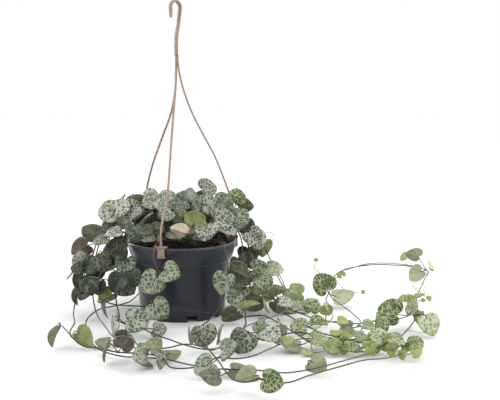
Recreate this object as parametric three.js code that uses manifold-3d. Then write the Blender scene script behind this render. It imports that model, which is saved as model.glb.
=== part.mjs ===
// A string of hearts (Ceropegia woodii) in its hanging pot. Millimetres, +Z up.
// The origin is the centre of the pot's foot, on the surface that the pot stands on.
// +X is the side that the long vines sweep to, -Y is the side of the front clip.

import * as THREE from 'three';
import { mergeVertices } from 'three/addons/utils/BufferGeometryUtils.js';
import Module from 'manifold-3d';

// ---------------------------------------------------------------- driving dimensions

const POT = {
  height: 82,
  rimRadius: 60,
  lipWidth: 2.2,
  collarHeight: 20.5,
  collarBottomRadius: 54.8,
  bodyTopRadius: 53.4,
  bodyBottomRadius: 47.2,
  wall: 1.8,
  footHeight: 8,
  footRadius: 46.2,
  footWall: 3.6,
  floorThickness: 3,
  hubRadius: 8,
  ribWidth: 2.4,
  ribAngles: [-10, 80, 170, 260],
  notchWidth: 12,
  notchHeight: 6.5,
  notchAngles: [-72, -38, 18, 52, 108, 142, 198, 232],
  drainRadius: 4,
  drainRingRadius: 28,
  drainCount: 6,
  drainSides: 8,
  sides: 28,
};

const SOIL = { level: 69, crownRise: 1.5, gap: 0.3, holeRadius: 1.9, holeDepth: 8, holeSides: 4 };

const HANGER = {
  top: 340,
  hookRadius: 6.5,
  hookTurn: 45,
  hookTip: 11,
  stripWidth: 5,
  stripThickness: 3,
  strandWidth: 2.6,
  strandThickness: 1.9,
  clipGap: 0.3,
  clipThickness: 1.9,
  tabWidth: 9,
  tabHeight: 10,
  tabClear: 13,
  wingSpan: 16,
  wingHeight: 2.6,
  innerTab: 5,
};

const STEM = { radius: 0.85, sides: 3, gap: 0.9, sampleStep: 3, tolerance: 0.7 };
const PETIOLE = { half: 0.6, endHalf: 0.24, length: 4.5, stand: 4, elbow: 4, step: 2.5 };
const BLADE = { thickness: 1.5, fold: 0.16, droop: 0.012 };

// Half of a heart-shaped blade as fractions of its size: [across, along the midrib],
// from the notch where the stalk joins, round one lobe, to the tip.
const HEART = [[0, 0], [0.3, -0.17], [0.52, 0.1], [0.42, 0.5], [0, 0.84]];

// ---------------------------------------------------------------- the vines
// Each point of a route is [x, y, z] or, where a pair of leaves grows, [x, y, z, leaf size, looks].
// A look is a letter and a clock hour for the tip of the leaf, seen from the front (-Y): f shows
// its face and b its back, h and g do so leaning over, l and r show a face that is turned to the
// left or right, e shows an edge, and u lies face up and d face down, with 12 pointing away.
// A + and a number set the leaf so many millimetres further out, and - is no leaf.
// Pairs without looks turn as the seeded rule says.

const VINES = {
  left_outer: [
    [-30, -6, 72], [-40, -8, 86], [-60, -10, 91], [-77, -12, 88], [-90, -14, 82, 23, 'b10.7 b8.6'],
    [-96, -16, 68, 20, 'u8 -'], [-104, -18, 53, 22, 'e8 f6.4'], [-111, -20, 37, 22, '- e6'],
    [-113, -24, 24], [-115, -30, 11], [-104, -78, 10], [-94, -138, 13, 23, 'b3.9 e7'],
    [-81, -152, 9], [-64, -164, 10], [-43, -182, 12, 19, 'e6.6 b1'], [-17, -190, 13, 18, 'd1.5 r9.3'],
    [-3, -196, 12, 16, 'r6 d3.5'], [9, -218, 10], [29, -216, 10], [48, -206, 15, 20, 'f7.6 l1.7'],
    [61, -200, 12], [76, -188, 10], [93, -166, 10], [113, -142, 10, 13], [133, -128, 8],
    [150, -133, 7, 11],
  ],
  left_inner: [
    [-24, 10, 72], [-34, 12, 92], [-52, 2, 108], [-66, -12, 113, 24, 'f9 f2.7'], [-80, -10, 98],
    [-90, -4, 80], [-95, -4, 63, 25, 'f6.4+7 f4.7'], [-98, -8, 43, 22, 'f7 -'], [-97, -16, 24],
    [-90, -39, 12], [-72, -89, 10], [-53, -133, 9, 16, 'd8.6 -'], [-35, -160, 10],
    [-16, -175, 13, 17, 'd10 d3'], [-1, -170, 12], [15, -162, 13], [29, -170, 14, 17, 'e11.3 -'],
    [40, -176, 12], [50, -166, 13, 19, '- e12.2'], [60, -140, 11], [80, -122, 9, 13],
  ],
  left_red: [
    [-26, -16, 72], [-34, -17, 94], [-39, -18, 110], [-48, -19, 109, 21, 'b8.3 f6'],
    [-57, -18, 97], [-62, -19, 84], [-64, -21, 74], [-66, -23, 61, 24, 'f11.5 r5'],
    [-70, -27, 46, 26, 'f4.4+3 -'], [-69, -36, 29, 21, 'b8 e6'], [-63, -52, 12],
    [-50, -103, 16, 24, 'l7.4 f3+5'], [-34, -107, 13, 18, 'f3.6+3 u1.5'], [-18, -126, 12],
    [0, -142, 11], [15, -149, 8], [34, -152, 5], [48, -146, 5], [58, -122, 7], [69, -94, 9],
    [83, -76, 10, 18, 'l4.5 -'], [101, -62, 12], [116, -40, 13, 19, 'u3 b2'],
  ],
  back_round_left: [
    [-18, 24, 72], [-24, 36, 90], [-31, 54, 91], [-41, 66, 74, 22], [-47, 72, 46, 22], [-52, 66, 16],
    [-62, 34, 4], [-75, 11, 4], [-90, -12, 6], [-97, -41, 5], [-93, -79, 4], [-80, -122, 4],
    [-62, -154, 4], [-40, -170, 4], [-19, -182, 7, 17, 'e4 b8.4'], [1, -190, 8], [20, -200, 7],
    [43, -206, 5], [54, -216, 8, 18, 'd3.4 -'], [84, -222, 9], [104, -228, 9],
    [124, -226, 11, 19, 'b3.9 -'], [158, -196, 9], [187, -172, 9], [204, -158, 9, 12],
  ],
  front: [
    [-14, -30, 72], [-18, -44, 86], [-22, -58, 87], [-24, -65, 79], [-22, -66, 66],
    [-17, -67, 56, 25, 'f7.6 l3+3'], [-23, -66, 42], [-28, -66, 30, 24, 'f4.6 -'], [-32, -66, 14],
    [-29, -84, 5],
  ],
  right_front: [
    [22, -26, 72], [33, -36, 86], [43, -45, 87], [49, -49, 78], [51, -50, 68],
    [52, -51, 58, 25, 'f6.6 b3.6'], [49, -54, 36], [44, -60, 22], [34, -82, 14],
    [25, -144, 18, 26, 'f5.7 -'], [42, -180, 9], [50, -220, 14],
    [56, -250, 17, 18, 'd8.8 -'], [62, -258, 14], [72, -264, 14], [82, -262, 16, 19, 'f3.4 b8.6'],
    [102, -260, 12], [124, -237, 10], [154, -208, 8], [176, -192, 8], [197, -186, 8],
    [212, -172, 8, 11], [216, -158, 10, 17, 'f2.8 -'],
  ],
  foot_runner: [
    [-37, -22, 72], [-46, -34, 84], [-57, -43, 85], [-70, -47, 76], [-79, -50, 60], [-84, -52, 42],
    [-82, -54, 29], [-68, -56, 23], [-50, -55, 21], [-30, -55, 20], [-12, -56, 18], [8, -56, 16],
    [26, -55, 14], [44, -58, 12], [64, -66, 12, 22, 'b8.3 e2'],
    [84, -66, 12], [105, -84, 10, 15, 'e5 u2'], [116, -110, 10], [130, -146, 10, 19, 'd9 u3.2'],
    [145, -152, 8], [161, -154, 8, 16, 'f9 u4'], [178, -160, 7, 11],
  ],
  right_drape: [
    [34, -10, 72], [46, -13, 88], [60, -17, 95], [66, -22, 84], [67, -26, 68],
    [73, -28, 52, 24, 'b7 f3'], [80, -26, 42], [90, -24, 31], [101, -20, 20, 19, 'b4.4 e5.4'],
    [110, -37, 10], [121, -63, 9], [134, -92, 9, 18, 'u3 f9'], [146, -110, 8], [162, -120, 7, 12],
  ],
  right_loop: [
    [30, 8, 72], [44, 4, 90], [62, -2, 92], [73, -4, 76, 24, 'b6 f1.7'], [75, -6, 50],
    [75, -10, 34, 21, 'd3.6 f8'], [72, -20, 20, 22, 'b4 d9'], [70, -44, 13], [71, -92, 14],
    [74, -150, 20, 24, 'f7 f5'], [88, -150, 13], [101, -142, 15, 22, 'b5.8 -'],
    [118, -130, 12], [135, -128, 10], [156, -138, 11], [171, -142, 10, 14], [186, -150, 10],
    [202, -152, 12, 16, 'f10 u4'], [216, -138, 12], [229, -116, 14], [240, -92, 17, 18, 'l11.5 r5'],
    [244, -64, 20], [260, -12, 24], [276, 34, 28], [287, 74, 31, 22, 'b8 b9.6'], [266, 88, 33],
    [249, 94, 33], [228, 96, 33], [208, 95, 31], [188, 83, 29], [172, 56, 24],
    [165, 12, 17, 26, 'f10.8 d3'], [174, -42, 17], [182, -66, 15], [186, -90, 14],
    [180, -112, 15, 14],
  ],
  right_upper: [
    [18, 22, 72], [36, 28, 92], [58, 26, 98], [79, 17, 76], [83, 13, 58],
    [88, 9, 46, 21, 'h3 e5.5'], [94, 5, 31, 20, 'e6.6 d4'], [101, 2, 21],
    [110, -4, 13, 21, 'u2.7 e4'], [120, -26, 9], [130, -46, 10, 20, 'h12 -'], [141, -56, 8],
    [153, -66, 8, 15, 'e8.3 b12.3'], [167, -74, 8], [185, -80, 9], [202, -84, 13, 23, 'r7.2 -'],
    [220, -90, 16], [236, -84, 18, 26, 'f9.2 f5'], [244, -60, 20, 13],
  ],
  right_pale: [
    [40, 2, 72], [50, 4, 94], [68, 5, 98], [87, 8, 80, 22, 'b6 -'], [97, 14, 58], [104, 16, 42],
    [112, 16, 26], [124, 10, 14, 17, 'h1 e5'],
  ],
  back_right: [
    [12, 32, 72], [20, 46, 90], [28, 60, 90], [36, 70, 72, 22], [42, 74, 48, 22], [48, 74, 24],
    [66, 62, 8], [86, 42, 6, 19], [108, 26, 6], [132, 4, 6, 15],
  ],
  back_middle: [
    [-4, 34, 72], [-4, 48, 90], [-4, 62, 90], [-4, 70, 74, 24], [-2, 74, 52, 24], [2, 76, 30],
    [10, 84, 8], [30, 92, 5, 18], [54, 88, 5],
  ],
  back_left: [
    [-34, 18, 72], [-44, 26, 92], [-58, 36, 92], [-68, 42, 78, 24], [-74, 44, 56, 22],
    [-80, 42, 34], [-90, 36, 10], [-100, 22, 6],
  ],
  crown_1: [
    [-38, 3, 72], [-42, -1, 94], [-48, -6, 113, 18, 'b12.4 b3'], [-59, 8, 110, 21, 'f1 e12.6'],
  ],
  crown_2: [
    [-16, -2, 72], [-21, 2, 96], [-30, 4, 113, 21, 'f11 f1'], [-31, -10, 118],
    [-29, -24, 114, 21, 'e7.5 b4'],
  ],
  crown_3: [
    [-6, -8, 72], [-10, -1, 96], [-18, 2, 113, 21, 'f1.3 f4.2'], [-19, -16, 118, 22, 'f8 f5.6'],
  ],
  crown_4: [
    [8, -4, 72], [6, -6, 98], [6, -6, 116, 24, 'r1.2 f8.6'], [16, 6, 128, 25, 'f1.5 f4.4'],
  ],
  crown_5: [
    [27, -4, 72], [37, 2, 98], [45, 4, 111, 22, 'f12 f9.2'], [58, 18, 113, 21, 'f12.2 b2.7'],
  ],
  crown_6: [
    [21, -13, 72], [29, -26, 94], [34, -36, 108, 25, 'f2.7 h6.3'], [45, -26, 104],
    [54, -10, 98, 24, 'f1.6 f11.7'],
  ],
  crown_7: [
    [3, -24, 72], [7, -36, 84], [9, -42, 90, 22, 'u3 u9.5'], [12, -36, 98],
    [16, -30, 101, 23, 'g12 b9.5'],
  ],
  crown_8: [[-24, -28, 72], [-23, -28, 81], [-21, -27, 89, 21, 'u9 u3.3']],
  crown_9: [[-44, 2, 72], [-50, 0, 92], [-61, -4, 103, 22, 'l8 u9.6']],
};

// ---------------------------------------------------------------- small vector and number helpers

const DEGREE = Math.PI / 180;
const UP = [0, 0, 1];
const add = (a, b) => [a[0] + b[0], a[1] + b[1], a[2] + b[2]];
const sub = (a, b) => [a[0] - b[0], a[1] - b[1], a[2] - b[2]];
const scale = (a, s) => [a[0] * s, a[1] * s, a[2] * s];
const dot = (a, b) => a[0] * b[0] + a[1] * b[1] + a[2] * b[2];
const cross = (a, b) => [
  a[1] * b[2] - a[2] * b[1],
  a[2] * b[0] - a[0] * b[2],
  a[0] * b[1] - a[1] * b[0],
];
const length = (a) => Math.sqrt(dot(a, a));
const unit = (a) => scale(a, 1 / length(a));
const distance = (a, b) => length(sub(a, b));

// A small repeatable random stream in [0, 1).
function randomStream(seed) {
  let state = seed >>> 0;
  return () => {
    state = (Math.imul(state, 1664525) + 1013904223) >>> 0;
    return state / 4294967296;
  };
}

// ---------------------------------------------------------------- joining and cutting

const wasm = await Module();
wasm.setup();

function toSolid(geometry) {
  const bare = geometry.clone();
  bare.deleteAttribute('normal');
  bare.deleteAttribute('uv');
  const merged = mergeVertices(bare, 1e-4);
  return new wasm.Manifold(new wasm.Mesh({
    numProp: 3,
    vertProperties: new Float32Array(merged.attributes.position.array),
    triVerts: new Uint32Array(merged.index.array),
  }));
}

function toGeometry(solid) {
  const mesh = solid.getMesh();
  const geometry = new THREE.BufferGeometry();
  const positions = new Float32Array(mesh.vertProperties);
  const triangles = new Uint32Array(mesh.triVerts);
  geometry.setAttribute('position', new THREE.BufferAttribute(positions, 3));
  geometry.setIndex(new THREE.BufferAttribute(triangles, 1));
  geometry.computeVertexNormals();
  return geometry;
}

const joinAll = (solids) => solids.reduce((whole, solid) => whole.add(solid));

// A turned profile [[radius, height], ...] that starts and ends on the axis.
function turned(profile, sides) {
  const points = profile.map(([radius, height]) => new THREE.Vector2(radius, height));
  return new THREE.LatheGeometry(points, sides).rotateX(Math.PI / 2);
}

// A box of the given size with its centre at (radius, 0, z), turned about the Z axis.
function boxAt(size, radius, z, angle) {
  const box = new THREE.BoxGeometry(...size);
  box.translate(radius, 0, z);
  return box.rotateZ(angle * DEGREE);
}

// An upright prism with a few sides.
function post(radius, low, high, sides, x, y) {
  const cylinder = new THREE.CylinderGeometry(radius, radius, high - low, sides);
  return cylinder.rotateX(Math.PI / 2).translate(x, y, (low + high) / 2);
}

function regularShape(radius, sides) {
  const shape = new THREE.Shape();
  for (let i = 0; i < sides; i += 1) {
    const angle = (2 * Math.PI * i) / sides;
    const x = radius * Math.cos(angle);
    const y = radius * Math.sin(angle);
    if (i === 0) shape.moveTo(x, y);
    else shape.lineTo(x, y);
  }
  shape.closePath();
  return shape;
}

function rectangleShape(width, height) {
  const shape = new THREE.Shape();
  shape.moveTo(-width / 2, -height / 2);
  shape.lineTo(width / 2, -height / 2);
  shape.lineTo(width / 2, height / 2);
  shape.lineTo(-width / 2, height / 2);
  shape.closePath();
  return shape;
}

// The shape swept along the points, in steps of about the given length.
function swept(shape, points, step) {
  const path = new THREE.CatmullRomCurve3(points.map((p) => new THREE.Vector3(...p)));
  path.arcLengthDivisions = points.length * 8;
  const steps = Math.max(1, Math.round(path.getLength() / step));
  return new THREE.ExtrudeGeometry(shape, { steps, bevelEnabled: false, extrudePath: path });
}

// A path that is stepped through its own points, one after the other.
class Chain extends THREE.Curve {
  constructor(points) {
    super();
    this.points = points.map((p) => new THREE.Vector3(...p));
    this.last = points.length - 1;
  }

  getPoint(t) {
    const place = Math.min(Math.max(t, 0), 1) * this.last;
    const i = Math.min(Math.floor(place + 1e-6), this.last - 1);
    return this.points[i].clone().lerp(this.points[i + 1], place - i);
  }

  getPointAt(u) {
    return this.getPoint(u);
  }

  getTangentAt(u) {
    const half = 0.5 / this.last;
    return this.getPoint(u + half).sub(this.getPoint(u - half)).normalize();
  }
}

// ---------------------------------------------------------------- the pot

const collarBottom = POT.height - POT.collarHeight;
const floorTop = POT.footHeight + POT.floorThickness;

// Outside of the pot from the foot to the lip: [radius, height].
const POT_OUTSIDE = [
  [POT.footRadius, 0],
  [POT.bodyBottomRadius, POT.footHeight + 1],
  [POT.bodyTopRadius, collarBottom - 0.6],
  [POT.collarBottomRadius, collarBottom],
  [POT.collarBottomRadius + 1.6, collarBottom + 5],
  [POT.rimRadius - 1.4, collarBottom + 12],
  [POT.rimRadius, POT.height - 2],
  [POT.rimRadius - 0.4, POT.height],
];

// Inside of the pot from the lip to the floor: [radius, height].
const POT_INSIDE = [
  [POT.rimRadius - POT.lipWidth, POT.height],
  [POT.rimRadius - POT.lipWidth - 0.3, POT.height - 2],
  [POT.rimRadius - POT.lipWidth - 1.2, collarBottom + 12],
  [POT.collarBottomRadius - POT.wall + 1, collarBottom + 5],
  [POT.bodyTopRadius - POT.wall, collarBottom - 3],
  [POT.bodyBottomRadius - POT.wall, floorTop],
];

// Radius of a profile at a height, by straight lines between its points.
function radiusAt(profile, z) {
  const rising = profile[0][1] < profile[profile.length - 1][1] ? profile : [...profile].reverse();
  if (z <= rising[0][1]) return rising[0][0];
  for (let i = 1; i < rising.length; i += 1) {
    const [r0, z0] = rising[i - 1];
    const [r1, z1] = rising[i];
    if (z <= z1) return r0 + ((r1 - r0) * (z - z0)) / (z1 - z0);
  }
  return rising[rising.length - 1][0];
}

function makePot() {
  const footInside = POT.footRadius - POT.footWall;
  const profile = [
    [0, 0],
    [POT.hubRadius, 0],
    [POT.hubRadius, POT.footHeight],
    [footInside, POT.footHeight],
    [footInside, 0],
    ...POT_OUTSIDE,
    ...POT_INSIDE,
    [0, floorTop],
  ];
  const ribLength = footInside - POT.hubRadius + 4;
  const ribs = POT.ribAngles.map((angle) => toSolid(boxAt(
    [ribLength, POT.ribWidth, POT.footHeight + 1],
    (footInside + POT.hubRadius) / 2,
    (POT.footHeight + 1) / 2,
    angle,
  )));
  const notches = POT.notchAngles.map((angle) => toSolid(boxAt(
    [POT.footWall * 3, POT.notchWidth, POT.notchHeight * 2],
    POT.footRadius,
    0,
    angle,
  )));
  const drains = Array.from({ length: POT.drainCount }, (_, i) => {
    const angle = ((i + 0.5) * 2 * Math.PI) / POT.drainCount;
    const x = POT.drainRingRadius * Math.cos(angle);
    const y = POT.drainRingRadius * Math.sin(angle);
    return toSolid(post(POT.drainRadius, -1, floorTop + 1, POT.drainSides, x, y));
  });
  const body = joinAll([toSolid(turned(profile, POT.sides)), ...ribs]);
  return toGeometry(body.subtract(joinAll([...notches, ...drains])));
}

// ---------------------------------------------------------------- the hanger

const hookTurn = HANGER.hookTurn * DEGREE;
const hookSide = [-Math.cos(hookTurn), -Math.sin(hookTurn), 0];
const hookCentreZ = HANGER.top - HANGER.hookRadius - HANGER.stripThickness / 2;
const shankTop = [0.5, 0, hookCentreZ];

// Where each strand runs: from the foot of the shank, out in a bow, to its clip on the rim.
const STRANDS = [
  {
    angle: -106,
    route: [[-4, 0, 288], [-5, -2, 250], [-7, -8, 222], [-9, -22, 184], [-12, -40, 132]],
  },
  {
    angle: 134,
    route: [
      [-4, 0, 288], [-6, 3, 246], [-11, 9, 222], [-24, 22, 190], [-37, 33, 156], [-44, 38, 124],
    ],
  },
  {
    angle: 14,
    route: [
      [-3, 0, 288], [-2, 0, 270], [3, 1, 246], [12, 2, 221], [25, 4, 195], [37, 5, 172],
      [46, 6, 149], [54, 7, 126],
    ],
  },
];

function hookRoute() {
  const points = [[-4, 0, 282], [-4, 0, 300], [-1.5, 0, 316], shankTop];
  const centre = add(shankTop, scale(hookSide, HANGER.hookRadius));
  for (let turn = 30; turn <= 180; turn += 30) {
    const across = scale(hookSide, -HANGER.hookRadius * Math.cos(turn * DEGREE));
    points.push(add(add(centre, across), [0, 0, HANGER.hookRadius * Math.sin(turn * DEGREE)]));
  }
  const last = points[points.length - 1];
  points.push(add(last, [0, 0, -HANGER.hookTip]));
  return points;
}

// Distance from the axis to the flats of a turned wall, as a share of its radius.
const FLAT = Math.cos(Math.PI / POT.sides);

// Radii of the middles of a clip's outer tab and of its inner lip.
const clipOuter = POT.rimRadius + HANGER.clipGap + HANGER.clipThickness / 2;
const innerWall = radiusAt(POT_INSIDE, POT.height - HANGER.innerTab) * FLAT;
const clipInner = innerWall - HANGER.clipGap - HANGER.clipThickness / 2;

const clipPoint = (angle, radius, z) => [
  radius * Math.cos(angle * DEGREE),
  radius * Math.sin(angle * DEGREE),
  z,
];

function strandRoute(strand) {
  return [
    ...strand.route,
    clipPoint(strand.angle, clipOuter - 0.6, POT.height + 18),
    clipPoint(strand.angle, clipOuter, POT.height + 1),
  ];
}

// A clip over the rim: an outer tab with wings, a bridge over the lip and an inner lip.
function makeClip(angle) {
  const t = HANGER.clipThickness;
  const top = POT.height + HANGER.clipGap + t;
  // A plate of the clip: its reach across the rim, its width and height, and its middle radius.
  const plate = (reach, width, height, radius) => toSolid(
    boxAt([reach, width, height], radius, top - height / 2, angle),
  );
  return joinAll([
    plate(t, HANGER.tabWidth, HANGER.tabHeight + t, clipOuter),
    plate(t, HANGER.wingSpan, HANGER.wingHeight, clipOuter),
    plate(clipOuter - clipInner + t, HANGER.tabWidth, t, (clipOuter + clipInner) / 2),
    plate(t, HANGER.tabWidth, HANGER.innerTab + t, clipInner),
  ]);
}

// Points spread over the plates of a clip, and over the clear space below its tab.
function clipSamples(angle) {
  const across = clipPoint(angle + 90, 1, 0);
  const points = [];
  for (const [radius, depth] of [[clipOuter, HANGER.tabClear], [clipInner, HANGER.innerTab]]) {
    for (let drop = -2; drop <= depth; drop += 3) {
      for (const side of drop < HANGER.wingHeight ? [-6, -3, 0, 3, 6] : [-3, 0, 3]) {
        points.push(add(clipPoint(angle, radius, POT.height - drop), scale(across, side)));
      }
    }
  }
  return points;
}

function makeHanger() {
  const strip = rectangleShape(HANGER.stripThickness, HANGER.stripWidth);
  const strand = rectangleShape(HANGER.strandThickness, HANGER.strandWidth);
  const parts = [toSolid(swept(strip, hookRoute(), 5))];
  for (const each of STRANDS) {
    parts.push(toSolid(swept(strand, strandRoute(each), 18)));
    parts.push(makeClip(each.angle));
  }
  return toGeometry(joinAll(parts));
}

// ---------------------------------------------------------------- routes

// The direction of a route at one of its points: the mean of the unit steps before and after.
function routeDirection(points, i) {
  const steps = [];
  if (i > 0) steps.push(unit(sub(points[i], points[i - 1])));
  if (i < points.length - 1) steps.push(unit(sub(points[i + 1], points[i])));
  return scale(steps.reduce(add), 1 / steps.length);
}

// A smooth curve through the points, in steps of about 3 mm. knots[i] is the step at point i.
function sampleRoute(points) {
  const samples = [];
  const knots = [];
  for (let i = 0; i < points.length - 1; i += 1) {
    const span = distance(points[i], points[i + 1]);
    const start = scale(routeDirection(points, i), span);
    const end = scale(routeDirection(points, i + 1), span);
    const count = Math.max(1, Math.ceil(span / STEM.sampleStep));
    knots.push(samples.length);
    for (let j = 0; j < count; j += 1) {
      const w = j / count;
      const w2 = w * w;
      const w3 = w2 * w;
      samples.push([0, 1, 2].map((k) => (2 * w3 - 3 * w2 + 1) * points[i][k]
        + (w3 - 2 * w2 + w) * start[k]
        + (3 * w2 - 2 * w3) * points[i + 1][k]
        + (w3 - w2) * end[k]));
    }
  }
  knots.push(samples.length);
  samples.push([...points[points.length - 1]]);
  return { samples, knots };
}

// ---------------------------------------------------------------- what is already in place

const CELL = 4;
const THIN = 1.3;
const WIDE = 1.3;
const STRAND_REACH = 2.2;

// Points in space with a reach round each, in cells for a quick search.
class Occupied {
  constructor() {
    this.cells = new Map();
  }

  add(point, reach, owner) {
    const key = point.map((v) => Math.floor(v / CELL)).join(',');
    if (!this.cells.has(key)) this.cells.set(key, []);
    this.cells.get(key).push({ point, reach, owner });
  }

  // Whether something that the caller doesn't own is nearer to the point than both reaches.
  touches(point, reach, mine) {
    const [cx, cy, cz] = point.map((v) => Math.floor(v / CELL));
    for (let x = cx - 1; x <= cx + 1; x += 1) {
      for (let y = cy - 1; y <= cy + 1; y += 1) {
        for (let z = cz - 1; z <= cz + 1; z += 1) {
          for (const other of this.cells.get(`${x},${y},${z}`) ?? []) {
            const close = distance(point, other.point) < reach + other.reach;
            if (close && !mine(other.owner)) return true;
          }
        }
      }
    }
    return false;
  }
}

// Whether a point is in the pot's wall or in the soil, or closer than the margin to them.
function inPot(point, margin) {
  const [x, y, z] = point;
  const radius = Math.hypot(x, y);
  if (z > POT.height + margin || z < -margin) return false;
  const outside = radiusAt(POT_OUTSIDE, z) + margin;
  const inside = radiusAt(POT_INSIDE, z) - margin;
  return radius < outside && (radius > inside || z < SOIL.level + SOIL.crownRise + margin);
}

// Raises a stem where it passes too close over those laid before it.
const LIFT_WIDTH = 24;
const LIFT_ROUNDS = 60;

function layOver(samples, laid) {
  const clear = 2 * STEM.radius + STEM.gap;
  for (let round = 0; round < LIFT_ROUNDS; round += 1) {
    let worst = -1;
    let lift = 0;
    samples.forEach((p, i) => {
      for (const q of laid) {
        if (Math.abs(p[0] - q[0]) < clear && Math.abs(p[1] - q[1]) < clear && distance(p, q) < clear) {
          const needed = q[2] + clear + 0.1 - p[2];
          if (needed > lift) {
            lift = needed;
            worst = i;
          }
        }
      }
    });
    if (worst < 0) return;
    const centre = samples[worst];
    for (const p of samples) {
      const away = distance(p, centre);
      if (away < LIFT_WIDTH) p[2] += lift * 0.5 * (1 + Math.cos((Math.PI * away) / LIFT_WIDTH));
    }
  }
}

// ---------------------------------------------------------------- layout of stems and leaves

const BURIED = SOIL.holeDepth - SOIL.gap;

// A vine's whole route: straight up out of its hole in the soil, then as listed.
function rootedRoute(route) {
  const [x, y] = route[0];
  const top = SOIL.level + SOIL.crownRise;
  return [[x, y, top - BURIED], [x, y, top + 3], ...route.slice(1).map((p) => p.slice(0, 3))];
}

const SPRIG = {
  places: 26,
  turn: 137.5,
  innerRadius: 6,
  outerRadius: 42,
  middleAngle: 90,
  halfAngle: 90,
  spacing: 6,
  minHeight: 24,
  maxHeight: 50,
  heightDraw: 6,
  lean: 13,
  leanAtMiddle: 0.3,
  leanDraw: { least: 0.7, more: 0.6 },
  kneeHeight: 0.55,
  kneeLean: 0.35,
  bendDraw: 60,
  leafSize: 23,
  sizeDraw: 3,
  seed: 11,
};

// Short upright shoots over the back of the soil, at places on a sunflower's spiral.
function sprigRoutes(roots) {
  const random = randomStream(SPRIG.seed);
  const base = SOIL.level + SOIL.crownRise;
  const routes = {};
  for (let i = 0; i < SPRIG.places; i += 1) {
    const angle = i * SPRIG.turn;
    const share = Math.sqrt((i + 0.5) / SPRIG.places);
    const radius = SPRIG.innerRadius + (SPRIG.outerRadius - SPRIG.innerRadius) * share;
    const shorter = (SPRIG.maxHeight - SPRIG.minHeight) * share;
    const height = SPRIG.maxHeight - shorter + SPRIG.heightDraw * random();
    const drawn = SPRIG.leanDraw.least + SPRIG.leanDraw.more * random();
    const lean = SPRIG.lean * (SPRIG.leanAtMiddle + share) * drawn;
    const bend = (random() - 0.5) * SPRIG.bendDraw;
    const size = SPRIG.leafSize + SPRIG.sizeDraw * (random() - 0.5);
    const root = clipPoint(angle, radius, 0);
    const fromMiddle = Math.abs(((angle - SPRIG.middleAngle + 540) % 360) - 180);
    const near = (other) => Math.hypot(root[0] - other[0], root[1] - other[1]) < SPRIG.spacing;
    if (fromMiddle > SPRIG.halfAngle || roots.some(near)) continue;
    roots.push(root);
    const [leanX, leanY] = clipPoint(angle + bend, lean, 0);
    const knee = [leanX * SPRIG.kneeLean, leanY * SPRIG.kneeLean, base + height * SPRIG.kneeHeight];
    const tip = [leanX, leanY, base + height];
    routes[`sprig_${Object.keys(routes).length + 1}`] = [
      [root[0], root[1], base + 2], [...add(root, knee), size], [...add(root, tip), size],
    ];
  }
  return routes;
}

// The vector turned about a unit axis.
function turnAbout(vector, axis, angle) {
  const c = Math.cos(angle);
  const s = Math.sin(angle);
  const kept = scale(axis, dot(axis, vector) * (1 - c));
  return add(add(scale(vector, c), scale(cross(axis, vector), s)), kept);
}

// The vector after the smallest turn that takes one heading to the other.
function carried(vector, from, to) {
  const axis = cross(from, to);
  const sine = length(axis);
  if (sine < 1e-6) return vector;
  return turnAbout(vector, scale(axis, 1 / sine), Math.atan2(sine, dot(from, to)));
}

// How far the leaf of each look leans over, and which way its upper face is turned.
const LOOKS = {
  f: { lean: 20, face: 1 },
  h: { lean: 50, face: 1 },
  u: { lean: 65, face: 1 },
  l: { lean: 20, face: 1, turn: -60 },
  r: { lean: 20, face: 1, turn: 60 },
  b: { lean: -20, face: -1 },
  g: { lean: -50, face: -1 },
  d: { lean: 65, face: -1 },
};

// The direction of the midrib and the normal of the upper face for a look such as 'f7', and how
// much further out the leaf is set.
function posed(look) {
  const [hour, out = 0] = look.slice(1).split('+').map(Number);
  const s = Math.sin(hour * 30 * DEGREE);
  const c = Math.cos(hour * 30 * DEGREE);
  if (look[0] === 'e') return { out, along: [s, 0, c], normal: c > 0 ? [-c, 0, s] : [c, 0, -s] };
  const { lean, face, turn = 0 } = LOOKS[look[0]];
  const back = Math.sin(lean * DEGREE);
  const rise = Math.cos(lean * DEGREE);
  return {
    out,
    along: turnAbout([s, c * back, c * rise], UP, turn * DEGREE),
    normal: turnAbout(scale([0, -rise, back], face), UP, turn * DEGREE),
  };
}

// The rule for leaves without a listed look. Below the lying height they take one of the looks
// at an hour of their own side. Above it they spread out and droop, more so on a hanging stem.
const LYING_HEIGHT = 40;
const LYING_LOOKS = ['f', 'u', 'b', 'f', 'u', 'e', 'd', 'f'];
const LYING_HOURS = { right: 1.5, left: 6.5, spread: 4 };
const OPEN = { out: 0.6, across: 0.5, droop: 0.25, facing: 0.5, rise: 0.75 };
const HANGING = { slope: -0.5, out: 0.3, across: 0.5, droop: 0.85, facing: 0.9, rise: 0.25 };
const FACING_DRAW = 0.4;

function drawnPose(node, direction, side, random) {
  const outward = unit([node[0], node[1], 0]);
  const across = scale(unit(cross(UP, outward)), side);
  if (node[2] > LYING_HEIGHT) {
    const rule = direction[2] < HANGING.slope ? HANGING : OPEN;
    const level = add(scale(outward, rule.out), scale(across, rule.across + 0.5 * random()));
    const along = unit(add(level, [0, 0, -rule.droop]));
    const outFacing = scale(outward, rule.facing + FACING_DRAW * random());
    const facing = unit(add(outFacing, scale(UP, rule.rise)));
    const normal = unit(sub(facing, scale(along, dot(facing, along))));
    return { out: 0, along, normal };
  }
  const letter = LYING_LOOKS[Math.floor(random() * LYING_LOOKS.length)];
  const from = side > 0 ? LYING_HOURS.right : LYING_HOURS.left;
  return posed(letter + (from + LYING_HOURS.spread * random()));
}

// Points of the blade's outline, and points spread over it, in the blade's own plane.
const heartWidth = (v) => {
  for (let i = 2; i < HEART.length; i += 1) {
    const [w0, v0] = HEART[i - 1];
    const [w1, v1] = HEART[i];
    if (v <= v1 && v >= v0) return w0 + ((w1 - w0) * (v - v0)) / (v1 - v0);
  }
  return 0;
};

const BLADE_ROWS = 8;
const SAMPLE_PITCH = 3;

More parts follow.
